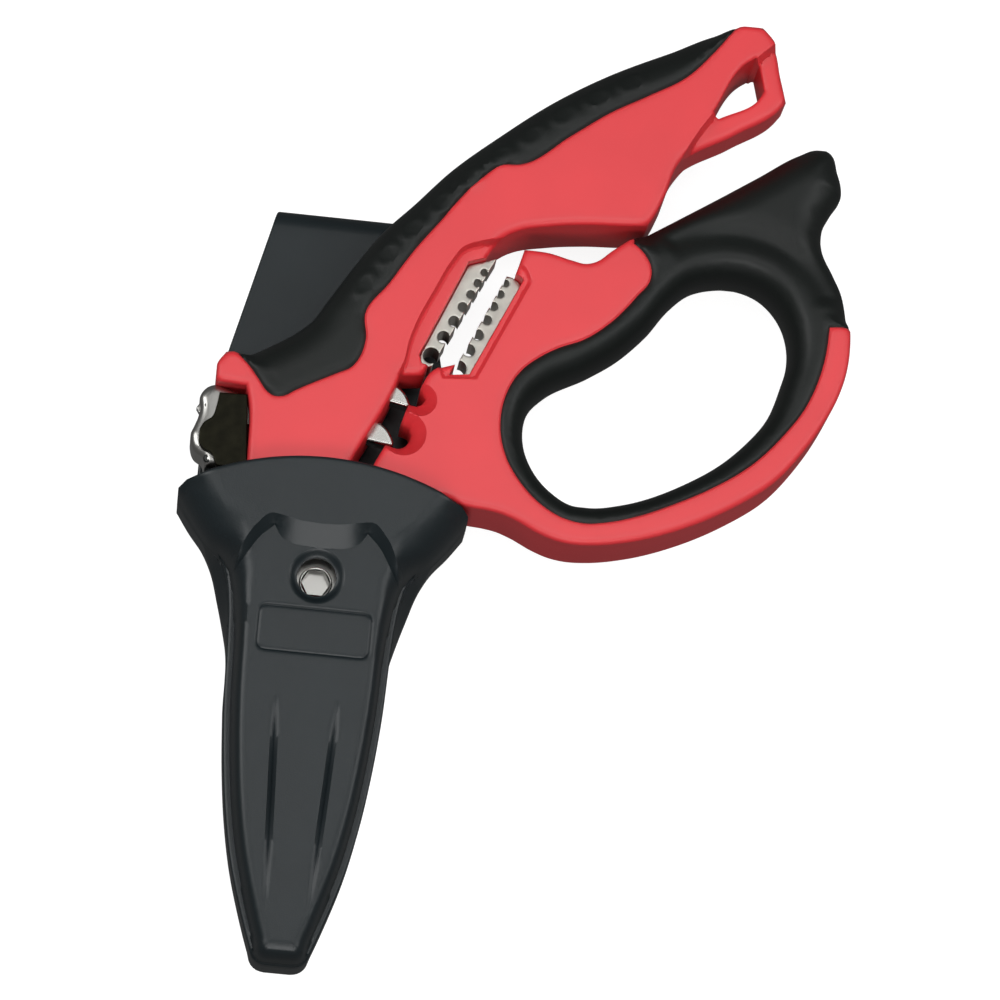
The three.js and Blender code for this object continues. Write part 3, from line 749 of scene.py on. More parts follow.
class BeltClipOperator(bpy.types.Operator):
    """Belt clip: one strip folded over at the top, a wide leaf in front and a springy tongue behind"""
    bl_idname = "scissors.belt_clip"
    bl_label = "Belt Clip"

    def execute(self, context):
        low, high = box_mm("belt_clip")
        fold_r = (high[2] - low[2]) / 2
        fold_y = high[1] - fold_r
        fold_z = (high[2] + low[2]) / 2
        stations = []
        for y in np.linspace(low[1], fold_y, 40):
            flare = CLIP_TOP_HALF + (high[1] - y) * CLIP_FLARE
            half = min(flare, CLIP_MAX_HALF, CLIP_FOOT_HALF + (y - low[1]) * CLIP_FOOT_FLARE)
            stations.append((half, LEAF_T, y, high[2] - LEAF_T / 2, 0.0))
        for turn in np.linspace(0, math.pi, 17)[1:-1]:
            thick = LEAF_T + (TONGUE_T - LEAF_T) * turn / math.pi
            reach = fold_r - thick / 2
            y = fold_y + reach * math.sin(turn)
            half = CLIP_TOP_HALF + (high[1] - y) * CLIP_FLARE
            stations.append((half, thick, y, fold_z + reach * math.cos(turn), turn))
        for y in np.linspace(fold_y, TONGUE_END_Y, 36):
            half = float(read_table(TONGUE_HALF, y))
            stations.append((half, TONGUE_T, y, low[2] + TONGUE_T / 2, math.pi))
        vertices = []
        for half, thick, y, z, turn in stations:
            for across, out in rounded_box((0, 0), (half, thick / 2), 0.55):
                vertices.append((across, y + out * math.sin(turn), z + out * math.cos(turn)))
        ring = len(vertices) // len(stations)
        faces = strip_faces(len(stations), ring)
        faces.append(tuple(range(ring)))
        faces.append(tuple(reversed(range(len(vertices) - ring, len(vertices)))))
        clip = new_piece("belt_clip_strip", vertices, faces)
        sink_floor = low[2] + SINK_FROM_BACK
        seats = []
        for name in RIVETS:
            seats.append(rod("seat", *rivet_place(name), RIVET_SHANK_R + RIVET_ROOM, *SEAT_CUT))
            seats.append(rod("sink", *rivet_place(name), RIVET_HEAD_R + RIVET_ROOM, SEAT_CUT[0], sink_floor))
        cut(clip, *seats)
        place(clip, "sheath", "sheath_nylon", "belt_clip")
        return {"FINISHED"}


class ClipRivetsOperator(bpy.types.Operator):
    """The two rivets that hold the clip to the sheath, flush at both ends"""
    bl_idname = "scissors.clip_rivets"
    bl_label = "Clip Rivets"

    def execute(self, context):
        for name in RIVETS:
            low, high = box_mm(name)
            under_head = low[2] + RIVET_HEAD_T
            lower = [(0, low[2]), (RIVET_HEAD_R - 0.2, low[2]), (RIVET_HEAD_R, low[2] + 0.2),
                     (RIVET_HEAD_R, under_head), (RIVET_SHANK_R, under_head)]
            upper = [(radius, low[2] + high[2] - z) for radius, z in reversed(lower)]
            rivet = turned(f"{name}_steel", *rivet_place(name), lower + upper)
            place(rivet, "sheath", "dark_steel", name)
        return {"FINISHED"}


# ---- blades and pivot ---------------------------------------------------------------------

UPPER_BLADE = [
    (0.5, -70), (2.5, -68), (6, -60), (8.8, -47), (10.5, -28), (11, -10), (10.5, 0), (8, 7), (4, 13),
    (1.5, 20), (3.4, 30), (3.8, 45), (0, 44), (-8, 38), (-12, 36.4), (-24, 36.2), (-26, 35),
    (-27, 33.5), (-26, 32), (-24, 31), (-15, 31), (-15, 22), (-13.5, 12), (-10, 4), (-7.5, -6),
    (-5, -14), (-4, -30), (-3.2, -50), (-1.5, -66),
]
UPPER_CUTTING_EDGE = [(-5, -14), (-4, -30), (-3.2, -50), (-1.5, -66), (0.5, -70)]
RING_BLADE = [
    (-0.5, -70), (1.5, -66), (3.2, -50), (4, -30), (5, -14), (11, 2), (16, 10), (24, 18.5), (30, 22),
    (31.5, 30), (28, 40), (22, 40.5), (21, 30), (12.5, 22.5), (7.5, 16), (0, 11), (-6, 8), (-9.5, 2),
    (-11, -10), (-10.5, -28), (-8.8, -47), (-6, -60), (-2.5, -68),
]
RING_CUTTING_EDGE = [(-0.5, -70), (1.5, -66), (3.2, -50), (4, -30), (5, -14)]
BORE_R = 3.2  # hole in every piece that turns on the bolt or is held by it
CATCH_PIN_AT = (-24.6, 33.5)
CATCH_PIN_HOLE_R = 1.1
BLADE_ROWS = (0.15, 0.4, 1.0, 2.0, 3.2)  # mesh rows inside a blade's outline, before those along its bevel
EDGE_LAND = 0.35  # thickness left at the cutting edge
BLADE_SHARP_ANGLE = 8  # a bevel this shallow still meets the face in a crisp line
# The bolt's shank and head, as (radius, distance below the head's top) rows.
BOLT_HEAD = [
    (2.9, 1.6), (4, 1.6), (4, 1.0), (3.85, 0.85), (3.3, 0.8), (3.3, 0.2), (3.2, 0.05), (3.05, 0),
    (0, 0),
]
SOCKET_DEPTH = 2.2
WASHER_R = 5.2
NUT_CORNER_R = 4.9


class BladesOperator(bpy.types.Operator):
    """The two blades, flat where they meet and ground to a bevel behind each cutting edge"""
    bl_idname = "scissors.blades"
    bl_label = "Blades"

    def execute(self, context):
        bevel = context.scene.scissor_sizes.blade_bevel / MM
        jobs = (
            ("upper_blade", "upper_half", UPPER_BLADE, UPPER_CUTTING_EDGE, 1),
            ("ring_blade", "ring_half", RING_BLADE, RING_CUTTING_EDGE, -1),
        )
        for node, body, points, edge, side in jobs:
            low, high = box_mm(node)
            outline = curve_through(points, 1.2, corner=25)
            holes = [circle(0, 0, BORE_R, 40)]
            if side > 0:
                holes.append(circle(*CATCH_PIN_AT, CATCH_PIN_HOLE_R, 24))
            rows = (*BLADE_ROWS, bevel, bevel + 0.3)
            flat, triangles = plan(outline, holes, step=1.3, rows=rows)
            edge_line = curve_through(edge, 1.2, closed=False)
            away = np.clip(1 - gap_to(flat, edge_line, False) / bevel, 0, 1)
            worn = ease(np.minimum(gap_to(flat, outline), gap_to(flat, holes[0])), 0.2, 0.2)
            ground = away * (high[2] - low[2] - EDGE_LAND)
            outer = np.where(away > 0, ground, worn)
            front, back = np.full(len(flat), high[2]), np.full(len(flat), low[2])
            if side > 0:
                front -= outer
            else:
                back += outer
            blade = slab(f"{node}_steel", flat, triangles, front, back, BLADE_SHARP_ANGLE)
            place(blade, body, "blade_steel", node)
        return {"FINISHED"}


class PivotOperator(bpy.types.Operator):
    """Pivot bolt with its hexagon socket, its washer and its nut"""
    bl_idname = "scissors.pivot"
    bl_label = "Pivot Bolt, Washer and Nut"

    def execute(self, context):
        low, high = box_mm("pivot_bolt")
        top = high[2]
        profile = [(0, low[2]), (2.6, low[2]), (2.9, low[2] + 0.3)]
        profile += [(radius, top - down) for radius, down in BOLT_HEAD]
        bolt = turned("pivot_bolt_steel", 0, 0, profile, 64)
        across = SOCKET_FLATS / 2 / math.cos(math.pi / 6)
        cut(bolt, rod("socket", 0, 0, across, top - SOCKET_DEPTH, top + 1, 6))
        place(bolt, "upper_half", "bright_steel", "pivot_bolt")
        jobs = (
            ("pivot_washer", circle(0, 0, WASHER_R, 56), 0.12),
            ("pivot_nut", curve_through(circle(0, 0, NUT_CORNER_R, 6), 0.7), 0.35),
        )
        bore = [circle(0, 0, BORE_R, 40)]
        for node, outline, rounding in jobs:
            bottom, lid = box_mm(node)
            piece = plate(f"{node}_steel", outline, bottom[2], lid[2], rounding, bore, step=1)
            place(piece, "upper_half", "bright_steel", node)
        return {"FINISHED"}


# ---- crimping dies ------------------------------------------------------------------------

UPPER_DIE = [(16.3, 48.2), (17, 46.6), (18.8, 46.4), (30.1, 70.6), (28.6, 70), (24.5, 68.5)]
RING_DIE = [(22.6, 44.4), (26.4, 44.9), (35.5, 65.6), (33.6, 66.9), (32.4, 67.1)]
NEST_RADII = (1.65, 1.25, 1.1, 0.95, 0.85, 0.8, 0.7)
UPPER_NESTS = [
    (18.7, 48.9), (20.8, 53), (22.6, 56.5), (24.1, 59.7), (25.5, 62.5), (26.7, 65), (27.8, 67.4),
]
RING_NESTS = [
    (24.3, 46.8), (26.1, 50.8), (27.7, 54.2), (29.2, 57.5), (30.3, 60.5), (31.4, 63.2), (32.3, 65.6),
]
ACROSS = np.array([0.905, -0.425])  # from the upper die to the ring die
NECK_SHARE = 0.72
NECK_REACH = 3.5


def nest_outline(at, radius, towards):
    """A keyhole: a round nest that opens through a narrower neck towards the other die."""
    heading = math.atan2(towards[1], towards[0])
    half = math.asin(NECK_SHARE)
    turn = heading + np.linspace(half, 2 * math.pi - half, 22)
    arc = at + radius * np.column_stack([np.cos(turn), np.sin(turn)])
    return np.vstack([arc, arc[-1] + towards * NECK_REACH, arc[0] + towards * NECK_REACH])


class CrimpDiesOperator(bpy.types.Operator):
    """The two crimping dies, each with seven nests that face each other across the gap"""
    bl_idname = "scissors.crimp_dies"
    bl_label = "Crimping Dies"

    def execute(self, context):
        jobs = (
            ("upper_crimp_die", "upper_half", UPPER_DIE, UPPER_NESTS, ACROSS),
            ("ring_crimp_die", "ring_half", RING_DIE, RING_NESTS, -ACROSS),
        )
        for node, body, outline, places, towards in jobs:
            low, high = box_mm(node)
            nests = [nest_outline(np.array(at), radius, towards) for at, radius in zip(places, NEST_RADII)]
            edge = curve_through(outline, 0.5, corner=12)
            die = plate(f"{node}_steel", edge, low[2], high[2], 0.18, nests, step=0.8)
            place(die, body, "die_steel", node)
        return {"FINISHED"}


# ---- indenter teeth -----------------------------------------------------------------------

SMALL_TOOTH = [
    (9.6, 42.8), (12.2, 42.5), (14.2, 41), (15.5, 38.7), (15.2, 38.1), (10.9, 38.9), (8.6, 39.3),
]
LARGE_TOOTH = [
    (6.4, 35.2), (8.9, 34.7), (11.2, 33.3), (12.3, 31.8), (12.8, 30.2), (12.5, 29.6), (7.2, 30.4),
    (5.4, 30.8),
]
TOOTH_HALF = 2.1


class IndentersOperator(bpy.types.Operator):
    """The two indenter teeth: flat-faced steel fins with polished, rounded edges"""
    bl_idname = "scissors.indenters"
    bl_label = "Indenter Teeth"

    def execute(self, context):
        for node, points in (("indenter_small", SMALL_TOOTH), ("indenter_large", LARGE_TOOTH)):
            outline = curve_through(points, 0.3, corner=55)
            tooth = plate(f"{node}_steel", outline, MID_Z - TOOTH_HALF, MID_Z + TOOTH_HALF, 0.55, step=0.5)
            place(tooth, "upper_half", "bright_steel", node)
        return {"FINISHED"}


# ---- handles ------------------------------------------------------------------------------

UPPER_OUTLINE = [
    (-15.6, 17.5), (2.2, 17.5), (4.6, 24.2), (11.6, 39.6), (12.9, 43.6), (17.4, 44.2), (18.6, 47.5),
    (26.5, 66), (29.5, 72.6), (33, 75.2), (40.5, 77.3), (48, 78.4), (56, 79), (59.5, 79.4), (61, 82),
    (62.6, 86), (65, 93.5), (76, 101.5), (84.5, 107.6), (86.1, 109.8), (84.6, 115), (82.6, 121.5),
    (80, 124.3), (73.8, 124), (61.2, 118.2), (49.1, 111.9), (38.6, 105), (28.6, 96.8), (19, 88),
    (12.4, 80.3), (6.8, 74), (1.3, 65.6), (-3.2, 58), (-5.8, 53.7), (-9, 50.7), (-13.1, 47.9),
    (-19.2, 44.7), (-22.2, 44.2), (-23.8, 41.5), (-23.6, 37.9), (-17.6, 37.6), (-17.1, 36), (-15.9, 22),
]
UPPER_GRIP = [
    (-20.5, 46.5), (-19.3, 43.6), (-17.3, 41.5), (-15, 38.7), (-13.6, 36.9), (-11.8, 35.9), (-10, 36.1),
    (-7.8, 37.5), (0.3, 42), (2.8, 43.4), (4.2, 45.4), (5.2, 49.5), (4.6, 54.8), (8.9, 61.8),
    (12.9, 68.6), (17.8, 75.6), (24.3, 84.4), (29.6, 88.9), (32.9, 89.4), (42.8, 96.7), (50.1, 102.3),
    (57.7, 106.9), (65, 111.6), (70.6, 118), (76, 126), (60, 130), (-30, 80),
]
LANYARD_EYE = [
    (71.2, 105.2), (72.6, 104.7), (80.4, 109.7), (81.4, 111.6), (80, 116.8), (78.9, 117.5),
    (77.2, 116.2),
]
TAB_EDGE = [
    (63.6, 90.2), (66.2, 96.2), (68.3, 100.3), (71.2, 105), (74.3, 110.3), (76.8, 114.3), (79, 117.2),
    (83.6, 122),
]
TAB_BEYOND = [(98, 124), (98, 90), (70, 86)]
TAB_DEPTH = 3.0
UPPER_LEDGE = [
    (14.4, 38), (12.4, 41.2), (12.6, 43.6), (13.4, 46.4), (13.8, 49.6), (14.8, 53.4), (18.1, 61.5),
    (20.9, 67.6), (23.2, 70.9), (26, 72.2), (29.6, 73.3), (34, 75), (34, 60), (24, 38),
]
OVAL_PITCH = 8.1
OVAL_INSET = 4.6
OVAL_COUNT = 10
OVAL_HALF = (2.6, 1.9)
OVAL_LINE = 0.22  # half-width of an oval's raised line, as a share of its radius
FIRST_OVAL = 2  # distance along the edge from SPINE_START
SPINE_START = (-1.5, 61)

RING_OUTLINE = [
    (6.8, 17.6), (17, 17.6), (20, 18.4), (23.5, 18.8), (26.5, 17.8), (29.2, 17.3), (32.1, 17.1),
    (35.3, 16.6), (38.2, 15.6), (42.7, 13.5), (46, 12.4), (49.9, 11.9), (53.7, 12.1), (62.1, 13.8),
    (71.2, 17.2), (80.9, 22.5), (88.9, 28.6), (94.8, 36.2), (98.3, 42.3), (100.6, 47.6), (101.9, 52.4),
    (102.4, 57.2), (102.3, 61), (101.8, 65.4), (100.4, 71), (98.5, 74.6), (95.9, 79.6), (95.6, 83.5),
    (97.5, 88.5), (99, 91.3), (98.8, 94), (98, 96.3), (96.5, 100.2), (95.2, 101), (93.2, 100.9),
    (89.6, 99.1), (81.6, 93.6), (73.6, 88.1), (65.6, 82.7), (57.6, 77.2), (52.6, 73.2), (50, 70.9),
    (48, 70.2), (45, 70.6), (40.4, 71.6), (35.3, 71.8), (34.2, 67.6), (25, 47.6), (18.6, 44.2),
    (17, 40.9), (18.3, 39.2), (17.3, 38.1), (15.1, 37.8), (13.8, 33.6), (15.6, 33), (16.1, 31.6),
    (15.6, 30.3), (14.1, 28.9), (11.2, 28.7), (9.6, 25.3),
]
RING_GRIP = [
    (57.4, 80.2), (57.2, 75.4), (59.5, 73.3), (61.1, 70.2), (60.9, 67.6), (58.9, 64.7), (53.8, 58.3),
    (48.6, 54.1), (44, 52), (40.3, 49.7), (36.2, 45.7), (34.2, 41.5), (33.4, 36.2), (33.8, 32.3),
    (35.3, 28), (38.5, 23.3), (42.9, 19.3), (47.8, 16.9), (51.7, 16.3), (56.4, 17), (62.1, 18.8),
    (69.3, 22.1), (76.2, 25.9), (84.6, 32.1), (90, 38.3), (94, 44.4), (96.4, 50.7), (97.6, 56.9),
    (97.9, 62), (106, 63), (108, 84), (100, 108),
]
FINGER_HOLE = [
    (38.4, 35), (39.4, 40.4), (42.2, 43.7), (50.8, 49), (56.3, 53), (61.8, 58.8), (66.1, 65),
    (70, 68.7), (74.7, 70.4), (79, 70.7), (83.6, 69.4), (87.9, 65.6), (90.1, 61), (90.7, 56),
    (89.6, 50.4), (87.2, 43.2), (82.7, 37), (78, 32.4), (72, 28.2), (59.3, 22.3), (53, 21), (49, 21.2),
    (45.2, 23.2), (41.2, 27.2), (39, 31.6),
]
RING_LEDGE = [(21, 43), (28, 43.6), (37.3, 65), (36, 67.6), (34.4, 69), (30, 66), (20, 46)]
RING_LEDGE_DEPTH = 1.1
SCOOPS = [((14.4, 30.9), 1.5, 4.6, 4.6), ((17.1, 38.1), 1.0, 3.4, 3.6)]  # middle, two radii, depth
VALLEY_FROM_HOLE = 9  # a shallow valley runs round the liner at this distance from the finger hole
VALLEY_HALF = 2.6
VALLEY_DEPTH = 1.3
THUMB_GROOVES = [((99.5, 80.5), (93, 82)), ((99.8, 85), (93.2, 86.8)), ((100.5, 90), (94.5, 91))]
THUMB_GROOVE_HALF = 0.5
THUMB_GROOVE_DEPTH = 0.35
SOFT_BLEND = (-1.2, 3)  # from the red shell's edge radius to the grip's rounding, across their border
GRIP_RISE_FROM = (0.2, 1.5)
SEAM_HALF = 0.28
POCKET_EDGE = 0.35
EYE_EDGE = 0.8
THINNEST_HALF = 0.4


def handle(names, outline, hole, hole_edge, grip, creases, pocket, lower, sizes):
    """Both pieces of a handle, red shell and soft grip, the same on front and back.

    hole_edge is the width and drop of the rounding round the hole, and the pocket holds the die.
    lower(points, in_grip) gives how much the face is lowered at each point besides its rounded edges.
    """
    step = sizes.mesh_step / MM
    flat, triangles = plan(outline, [hole], [(grip, True), *creases], step, cutouts=[pocket])
    in_grip = depth_in(flat, grip)
    soft = ramp(in_grip, *SOFT_BLEND)
    edge = sizes.shell_edge / MM
    width = edge + (sizes.spine_width / MM - edge) * soft
    drop = edge + (sizes.spine_drop / MM - edge) * soft
    falls = [
        ease(gap_to(flat, outline), width, drop),
        ease(gap_to(flat, hole), *hole_edge),
        ease(gap_to(flat, pocket), POCKET_EDGE, POCKET_EDGE),
    ]
    fall = np.sum([f ** 3 for f in falls], axis=0) ** (1 / 3)
    seam = sizes.seam_depth / MM * np.exp(-(in_grip / SEAM_HALF) ** 2)
    rise = sizes.grip_rise / MM * ramp(in_grip, *GRIP_RISE_FROM)
    half = HALF_T - fall - seam + rise - lower(flat, in_grip)
    half = np.clip(half, THINNEST_HALF, HALF_T + 0.6)
    soft_faces = inside(flat[triangles].mean(1), grip)
    pieces = []
    for name, faces in ((names[0], triangles[~soft_faces]), (names[1], triangles[soft_faces])):
        pieces.append(slab(name, flat, faces, MID_Z + half, MID_Z - half))
    return pieces


def grown(points, amount=0.12):
    """A die's outline with a little room round it, as the pocket in its handle."""
    line = curve_through(points, 0.6, corner=12)
    along = np.roll(line, -1, 0) - np.roll(line, 1, 0)
    along /= np.linalg.norm(along, axis=1)[:, None]
    moved = line + np.column_stack([along[:, 1], -along[:, 0]]) * amount
    return moved if inside(line[:1], moved)[0] else line - (moved - line)


def spine_ovals(outline):
    """Middles and headings of the ovals that run along the upper grip's outer edge."""
    start = int(np.argmin(((outline - SPINE_START) ** 2).sum(1)))
    walk = np.roll(outline, -start, 0)[::-1]
    run = np.concatenate([[0], np.cumsum(np.linalg.norm(np.diff(walk, axis=0), axis=1))])
    at = np.arange(OVAL_COUNT) * OVAL_PITCH + FIRST_OVAL
    middle = np.column_stack([np.interp(at, run, walk[:, k]) for k in (0, 1)])
    further = np.column_stack([np.interp(at + 0.5, run, walk[:, k]) for k in (0, 1)])
    heading = (further - middle) / np.linalg.norm(further - middle, axis=1)[:, None]
    inward = np.column_stack([heading[:, 1], -heading[:, 0]])
    return middle + inward * OVAL_INSET, heading


class UpperHandleOperator(bpy.types.Operator):
    """Upper handle: red shell with its lanyard eye, and the soft grip along its spine"""
    bl_idname = "scissors.upper_handle"
    bl_label = "Upper Handle"

    def execute(self, context):
        sizes = context.scene.scissor_sizes
        outline = curve_through(UPPER_OUTLINE, 0.8)
        grip = curve_through(UPPER_GRIP, 0.8)
        eye = curve_through(LANYARD_EYE, 0.4, corner=30)
        ledge = curve_through(UPPER_LEDGE, 0.7)
        tab_line = curve_through(TAB_EDGE, 0.7, closed=False)
        tab = np.vstack([tab_line, TAB_BEYOND])
        ovals, headings = spine_ovals(outline)

        def lower(points, _):
            down = sizes.ledge_depth / MM * ramp(depth_in(points, ledge), -0.1, 0.5)
            down += TAB_DEPTH * ramp(depth_in(points, tab), -0.1, 0.9)
            for middle, heading in zip(ovals, headings):
                offset = points - middle
                along = offset @ heading
                across = offset @ np.array([-heading[1], heading[0]])
                reach = np.hypot(along / OVAL_HALF[0], across / OVAL_HALF[1])
                down -= sizes.oval_rise / MM * np.exp(-((reach - 1) / OVAL_LINE) ** 2)
            return down

        creases = [(ledge, True), (tab_line, False)]
        shell, soft = handle(("upper_handle_red", "upper_grip_soft"), outline, eye, (EYE_EDGE, EYE_EDGE),
                             grip, creases, grown(UPPER_DIE), lower, sizes)
        place(shell, "upper_half", "red_plastic", "upper_handle_shell")
        place(soft, "upper_half", "black_grip", "upper_grip")
        return {"FINISHED"}


class RingHandleOperator(bpy.types.Operator):
    """Ring handle: red shell, and the soft liner round the finger hole with its thumb rest"""
    bl_idname = "scissors.ring_handle"
    bl_label = "Ring Handle"

    def execute(self, context):
        sizes = context.scene.scissor_sizes
        outline = curve_through(RING_OUTLINE, 0.8)
        grip = curve_through(RING_GRIP, 0.8)
        hole = curve_through(FINGER_HOLE, 0.8)
        ledge = curve_through(RING_LEDGE, 0.7)

        def lower(points, in_grip):
            down = RING_LEDGE_DEPTH * ramp(depth_in(points, ledge), -0.1, 0.7)
            for middle, inner, outer, depth in SCOOPS:
                away = np.hypot(*(points - middle).T)
                down = np.maximum(down, depth * np.clip((outer - away) / (outer - inner), 0, 1))
            from_hole = gap_to(points, hole)
            valley = np.exp(-((from_hole - VALLEY_FROM_HOLE) / VALLEY_HALF) ** 2) * ramp(in_grip, 4, 7)
            down += VALLEY_DEPTH * valley
            for groove in THUMB_GROOVES:
                away = gap_to(points, np.array(groove, float), False)
                down += THUMB_GROOVE_DEPTH * np.exp(-(away / THUMB_GROOVE_HALF) ** 2) * (in_grip > 1)
            return down

        creases = [(ledge, True)] + [(circle(*middle, outer, 36), True) for middle, _, outer, _ in SCOOPS]
        liner = (sizes.liner_width / MM, HALF_T - THINNEST_HALF)
        shell, soft = handle(("ring_handle_red", "ring_grip_soft"), outline, hole, liner,
                             grip, creases, grown(RING_DIE), lower, sizes)
        place(shell, "ring_half", "red_plastic", "ring_handle_shell")
        place(soft, "ring_half", "black_grip", "ring_grip")
        return {"FINISHED"}


# ---- lock catch ---------------------------------------------------------------------------

CATCH_BODY = [
    (-16.7, 20.9), (-18.2, 36.6), (-21.5, 37.6), (-23.7, 38.1), (-25.4, 37.3), (-26.5, 35.4),
    (-26.2, 32.9), (-26.4, 31.4), (-27.1, 29.1), (-27.6, 27.6), (-27.5, 26.2), (-26.6, 24.1),
    (-24.9, 22.9), (-24.2, 20.9),
]
CATCH_COVER = [
    (-15.8, 20.9), (-17.1, 36.2), (-22.7, 36), (-23, 33.4), (-23.7, 30.9), (-25.2, 29.6), (-25.9, 28),
    (-25.8, 25.3), (-25.1, 24.3), (-23.2, 23.3), (-22.3, 21.8), (-22, 20.9),
]
COVER_T = 1.3  # how far the cover plates stand above the body's faces
COVER_DEPTH = 3  # each plate reaches this far in, past the body's rounded edge
CATCH_EDGE = 1.6
# A pin's dished front end, as (radius, distance below its box's top) rows.
PIN_END = [(0.9, 1.6), (0.7, 1.4), (0.3, 1.4), (0.25, 1.7), (0, 1.7)]


class LockCatchOperator(bpy.types.Operator):
    """Lock catch: a scalloped steel body with a blackened cover plate on each face, and its two pins"""
    bl_idname = "scissors.lock_catch"
    bl_label = "Lock Catch"

    def execute(self, context):
        low, high = box_mm("lock_catch")
        outline = curve_through(CATCH_BODY, 0.4)
        body = plate("lock_catch_body", outline, low[2] + COVER_T, high[2] - COVER_T, CATCH_EDGE, step=0.7)
        place(body, "catch", "blade_steel", "lock_catch")
        cover = curve_through(CATCH_COVER, 0.4)
        covers = (
            ("catch_cover_front", high[2] - COVER_DEPTH, high[2]),
            ("catch_cover_back", low[2], low[2] + COVER_DEPTH),
        )
        for name, bottom, top in covers:
            sheet = plate(name, cover, bottom, top, 0.3, step=0.7)
            place(sheet, "catch", "black_steel")
        for node, owner in (("catch_pin", "upper_half"), ("catch_hook_pin", "catch")):
            bottom, top = box_mm(node)
            x, y = (bottom[:2] + top[:2]) / 2
            profile = [(0, bottom[2]), (0.7, bottom[2]), (0.9, bottom[2] + 0.2)]
            profile += [(radius, top[2] - down) for radius, down in PIN_END]
            pin = turned(f"{node}_steel", x, y, profile, 32)
            place(pin, owner, "dark_steel", node)
        return {"FINISHED"}


# ---- studio -------------------------------------------------------------------------------

CAMERA_BACK = Vector((-0.05601869, -0.252684, 0.96592583))
CAMERA_UP = Vector((-0.10158365, 0.96386704, 0.2462541))
CAMERA_TARGET = Vector((0.035167, 0.021451, 0.011023))
CAMERA_DISTANCE = 1.0
LENS_MM = 180
SENSOR_MM = 36
FLOOR_HALF = 3000.0


def softbox(name, at, size, power, aim=CAMERA_TARGET):
    """A rectangular area light that faces the object."""
    light = bpy.data.lights.new(name, "AREA")
    light.shape = "RECTANGLE"
    light.size, light.size_y = size
    light.energy = power
    lamp = bpy.data.objects.new(name, light)
    lamp.location = at
    lamp.rotation_euler = (Vector(aim) - Vector(at)).to_track_quat("-Z", "Y").to_euler()
    bpy.context.scene.collection.objects.link(lamp)
    return lamp


def lit_acrylic(colours):
    """Frosted acrylic table lit from below: an even pale glow with no shine.

    Such a frosting is usually about 0.1 mm and is drawn coarser, so that it could show.
    """
    glow = {"Roughness": 0.9, "Emission Color": (1, 1, 1, 1), "Emission Strength": 0.9}
    return finish("lit_acrylic_table", colours.floor, glow,
                  grain_mm=0.8, relief_mm=0.005, shade=0.01, cloud_mm=200)


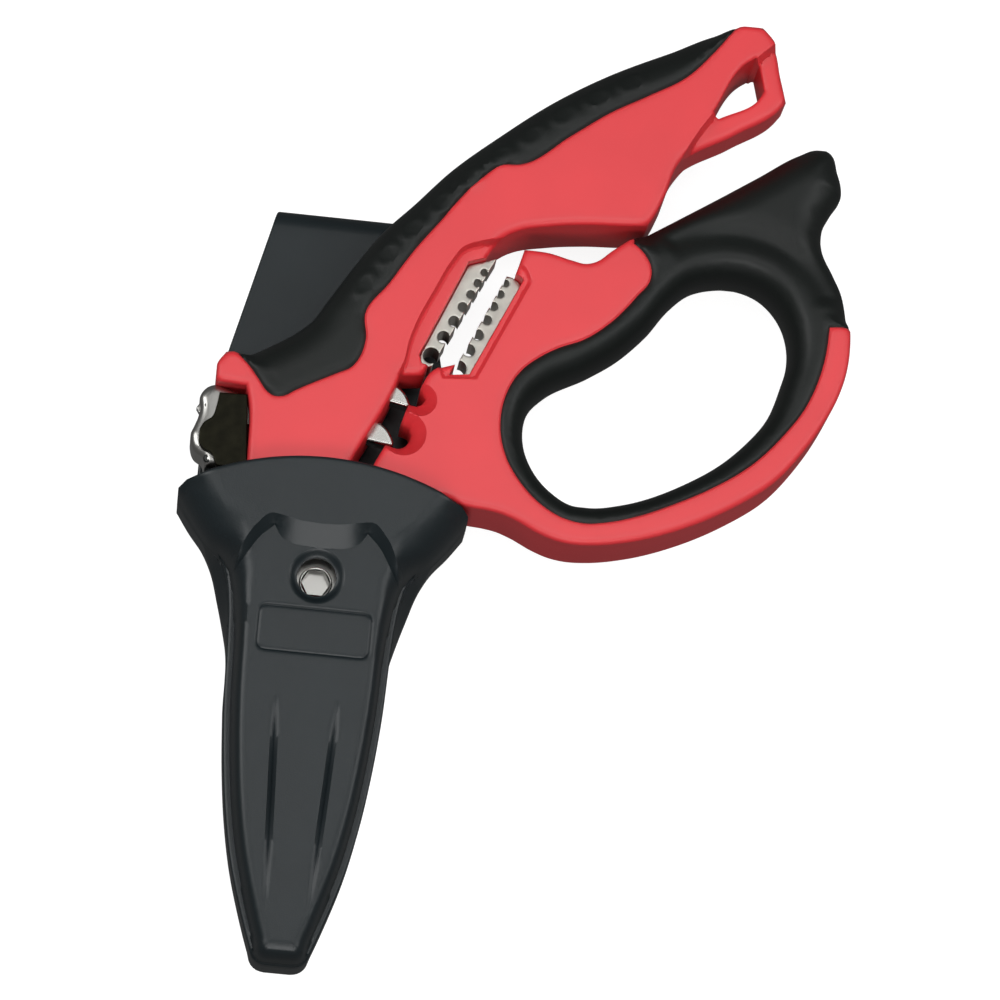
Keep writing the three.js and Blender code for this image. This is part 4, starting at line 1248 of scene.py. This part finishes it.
class StageOperator(bpy.types.Operator):
    """Camera, pale floor and soft studio light"""
    bl_idname = "scissors.stage"
    bl_label = "Studio"

    def execute(self, context):
        scene = context.scene
        right = CAMERA_UP.cross(CAMERA_BACK)
        camera = bpy.data.objects.new("camera", bpy.data.cameras.new("camera"))
        camera.data.lens = LENS_MM
        camera.data.sensor_width = SENSOR_MM
        turn = camera.matrix_world.copy()
        for axis, direction in enumerate((right, CAMERA_UP, CAMERA_BACK)):
            for row in range(3):
                turn[row][axis] = direction[row]
        turn.translation = CAMERA_TARGET + CAMERA_BACK * CAMERA_DISTANCE
        camera.matrix_world = turn
        scene.collection.objects.link(camera)
        scene.camera = camera

        floor_z = CAD_BOX[0][2] / MM - 0.05
        signs = ((-1, -1), (1, -1), (1, 1), (-1, 1))
        corners = [(x * FLOOR_HALF, y * FLOOR_HALF, floor_z) for x, y in signs]
        floor = new_piece("floor", corners, [(0, 1, 2, 3)])
        floor.data.materials.append(lit_acrylic(scene.scissor_colours))
        floor.visible_glossy = False
        floor.visible_diffuse = False

        overhead = softbox("overhead_softbox", (0.05, 0.1, 1.2), (1.0, 0.8), 7.8)
        overhead.visible_glossy = False
        softbox("left_softbox", (-0.75, 0.15, 0.8), (0.45, 0.9), 4.4)
        softbox("right_softbox", (0.85, 0.1, 0.8), (0.45, 0.9), 3.2)
        softbox("front_softbox", (0.06, -0.8, 0.85), (0.9, 0.4), 5.0)
        softbox("handle_card", (0.19, 0.37, 1.15), (0.36, 0.36), 0.5)
        softbox("panel_card", (0.02, 0.06, 1.2), (0.4, 0.24), 0.9)
        world = bpy.data.worlds.new("studio_air")
        world.use_nodes = True
        background = world.node_tree.nodes["Background"]
        background.inputs["Color"].default_value = (1, 1, 1, 1)
        background.inputs["Strength"].default_value = 0.12
        scene.world = world
        scene.view_settings.view_transform = "Standard"
        return {"FINISHED"}


# ---- sidebar and registration -------------------------------------------------------------

PIECE_OPERATORS = (
    StageOperator, SheathFrontOperator, SheathBackOperator, BeltClipOperator, ClipRivetsOperator,
    BladesOperator, PivotOperator, CrimpDiesOperator, IndentersOperator, UpperHandleOperator,
    RingHandleOperator, LockCatchOperator,
)


class ScissorsPanel(bpy.types.Panel):
    """Sizes, colours and a button for each piece"""
    bl_idname = "VIEW3D_PT_scissors"
    bl_label = "Electrician's Scissors"
    bl_space_type = "VIEW_3D"
    bl_region_type = "UI"
    bl_category = "Scissors"

    def draw(self, context):
        for group in (context.scene.scissor_sizes, context.scene.scissor_colours):
            column = self.layout.column()
            for name in group.bl_rna.properties.keys():
                if name not in ("rna_type", "name"):
                    column.prop(group, name)
        for operator in PIECE_OPERATORS:
            self.layout.operator(operator.bl_idname)


CLASSES = (ScissorSizes, ScissorColours, *PIECE_OPERATORS, ScissorsPanel)


def register():
    for item in CLASSES:
        bpy.utils.register_class(item)
    bpy.types.Scene.scissor_sizes = bpy.props.PointerProperty(type=ScissorSizes)
    bpy.types.Scene.scissor_colours = bpy.props.PointerProperty(type=ScissorColours)


def unregister():
    del bpy.types.Scene.scissor_colours
    del bpy.types.Scene.scissor_sizes
    for item in reversed(CLASSES):
        bpy.utils.unregister_class(item)


def main():
    register()
    for operator in PIECE_OPERATORS:
        group, name = operator.bl_idname.split(".")
        getattr(getattr(bpy.ops, group), name)()


if __name__ == "__main__":
    main()
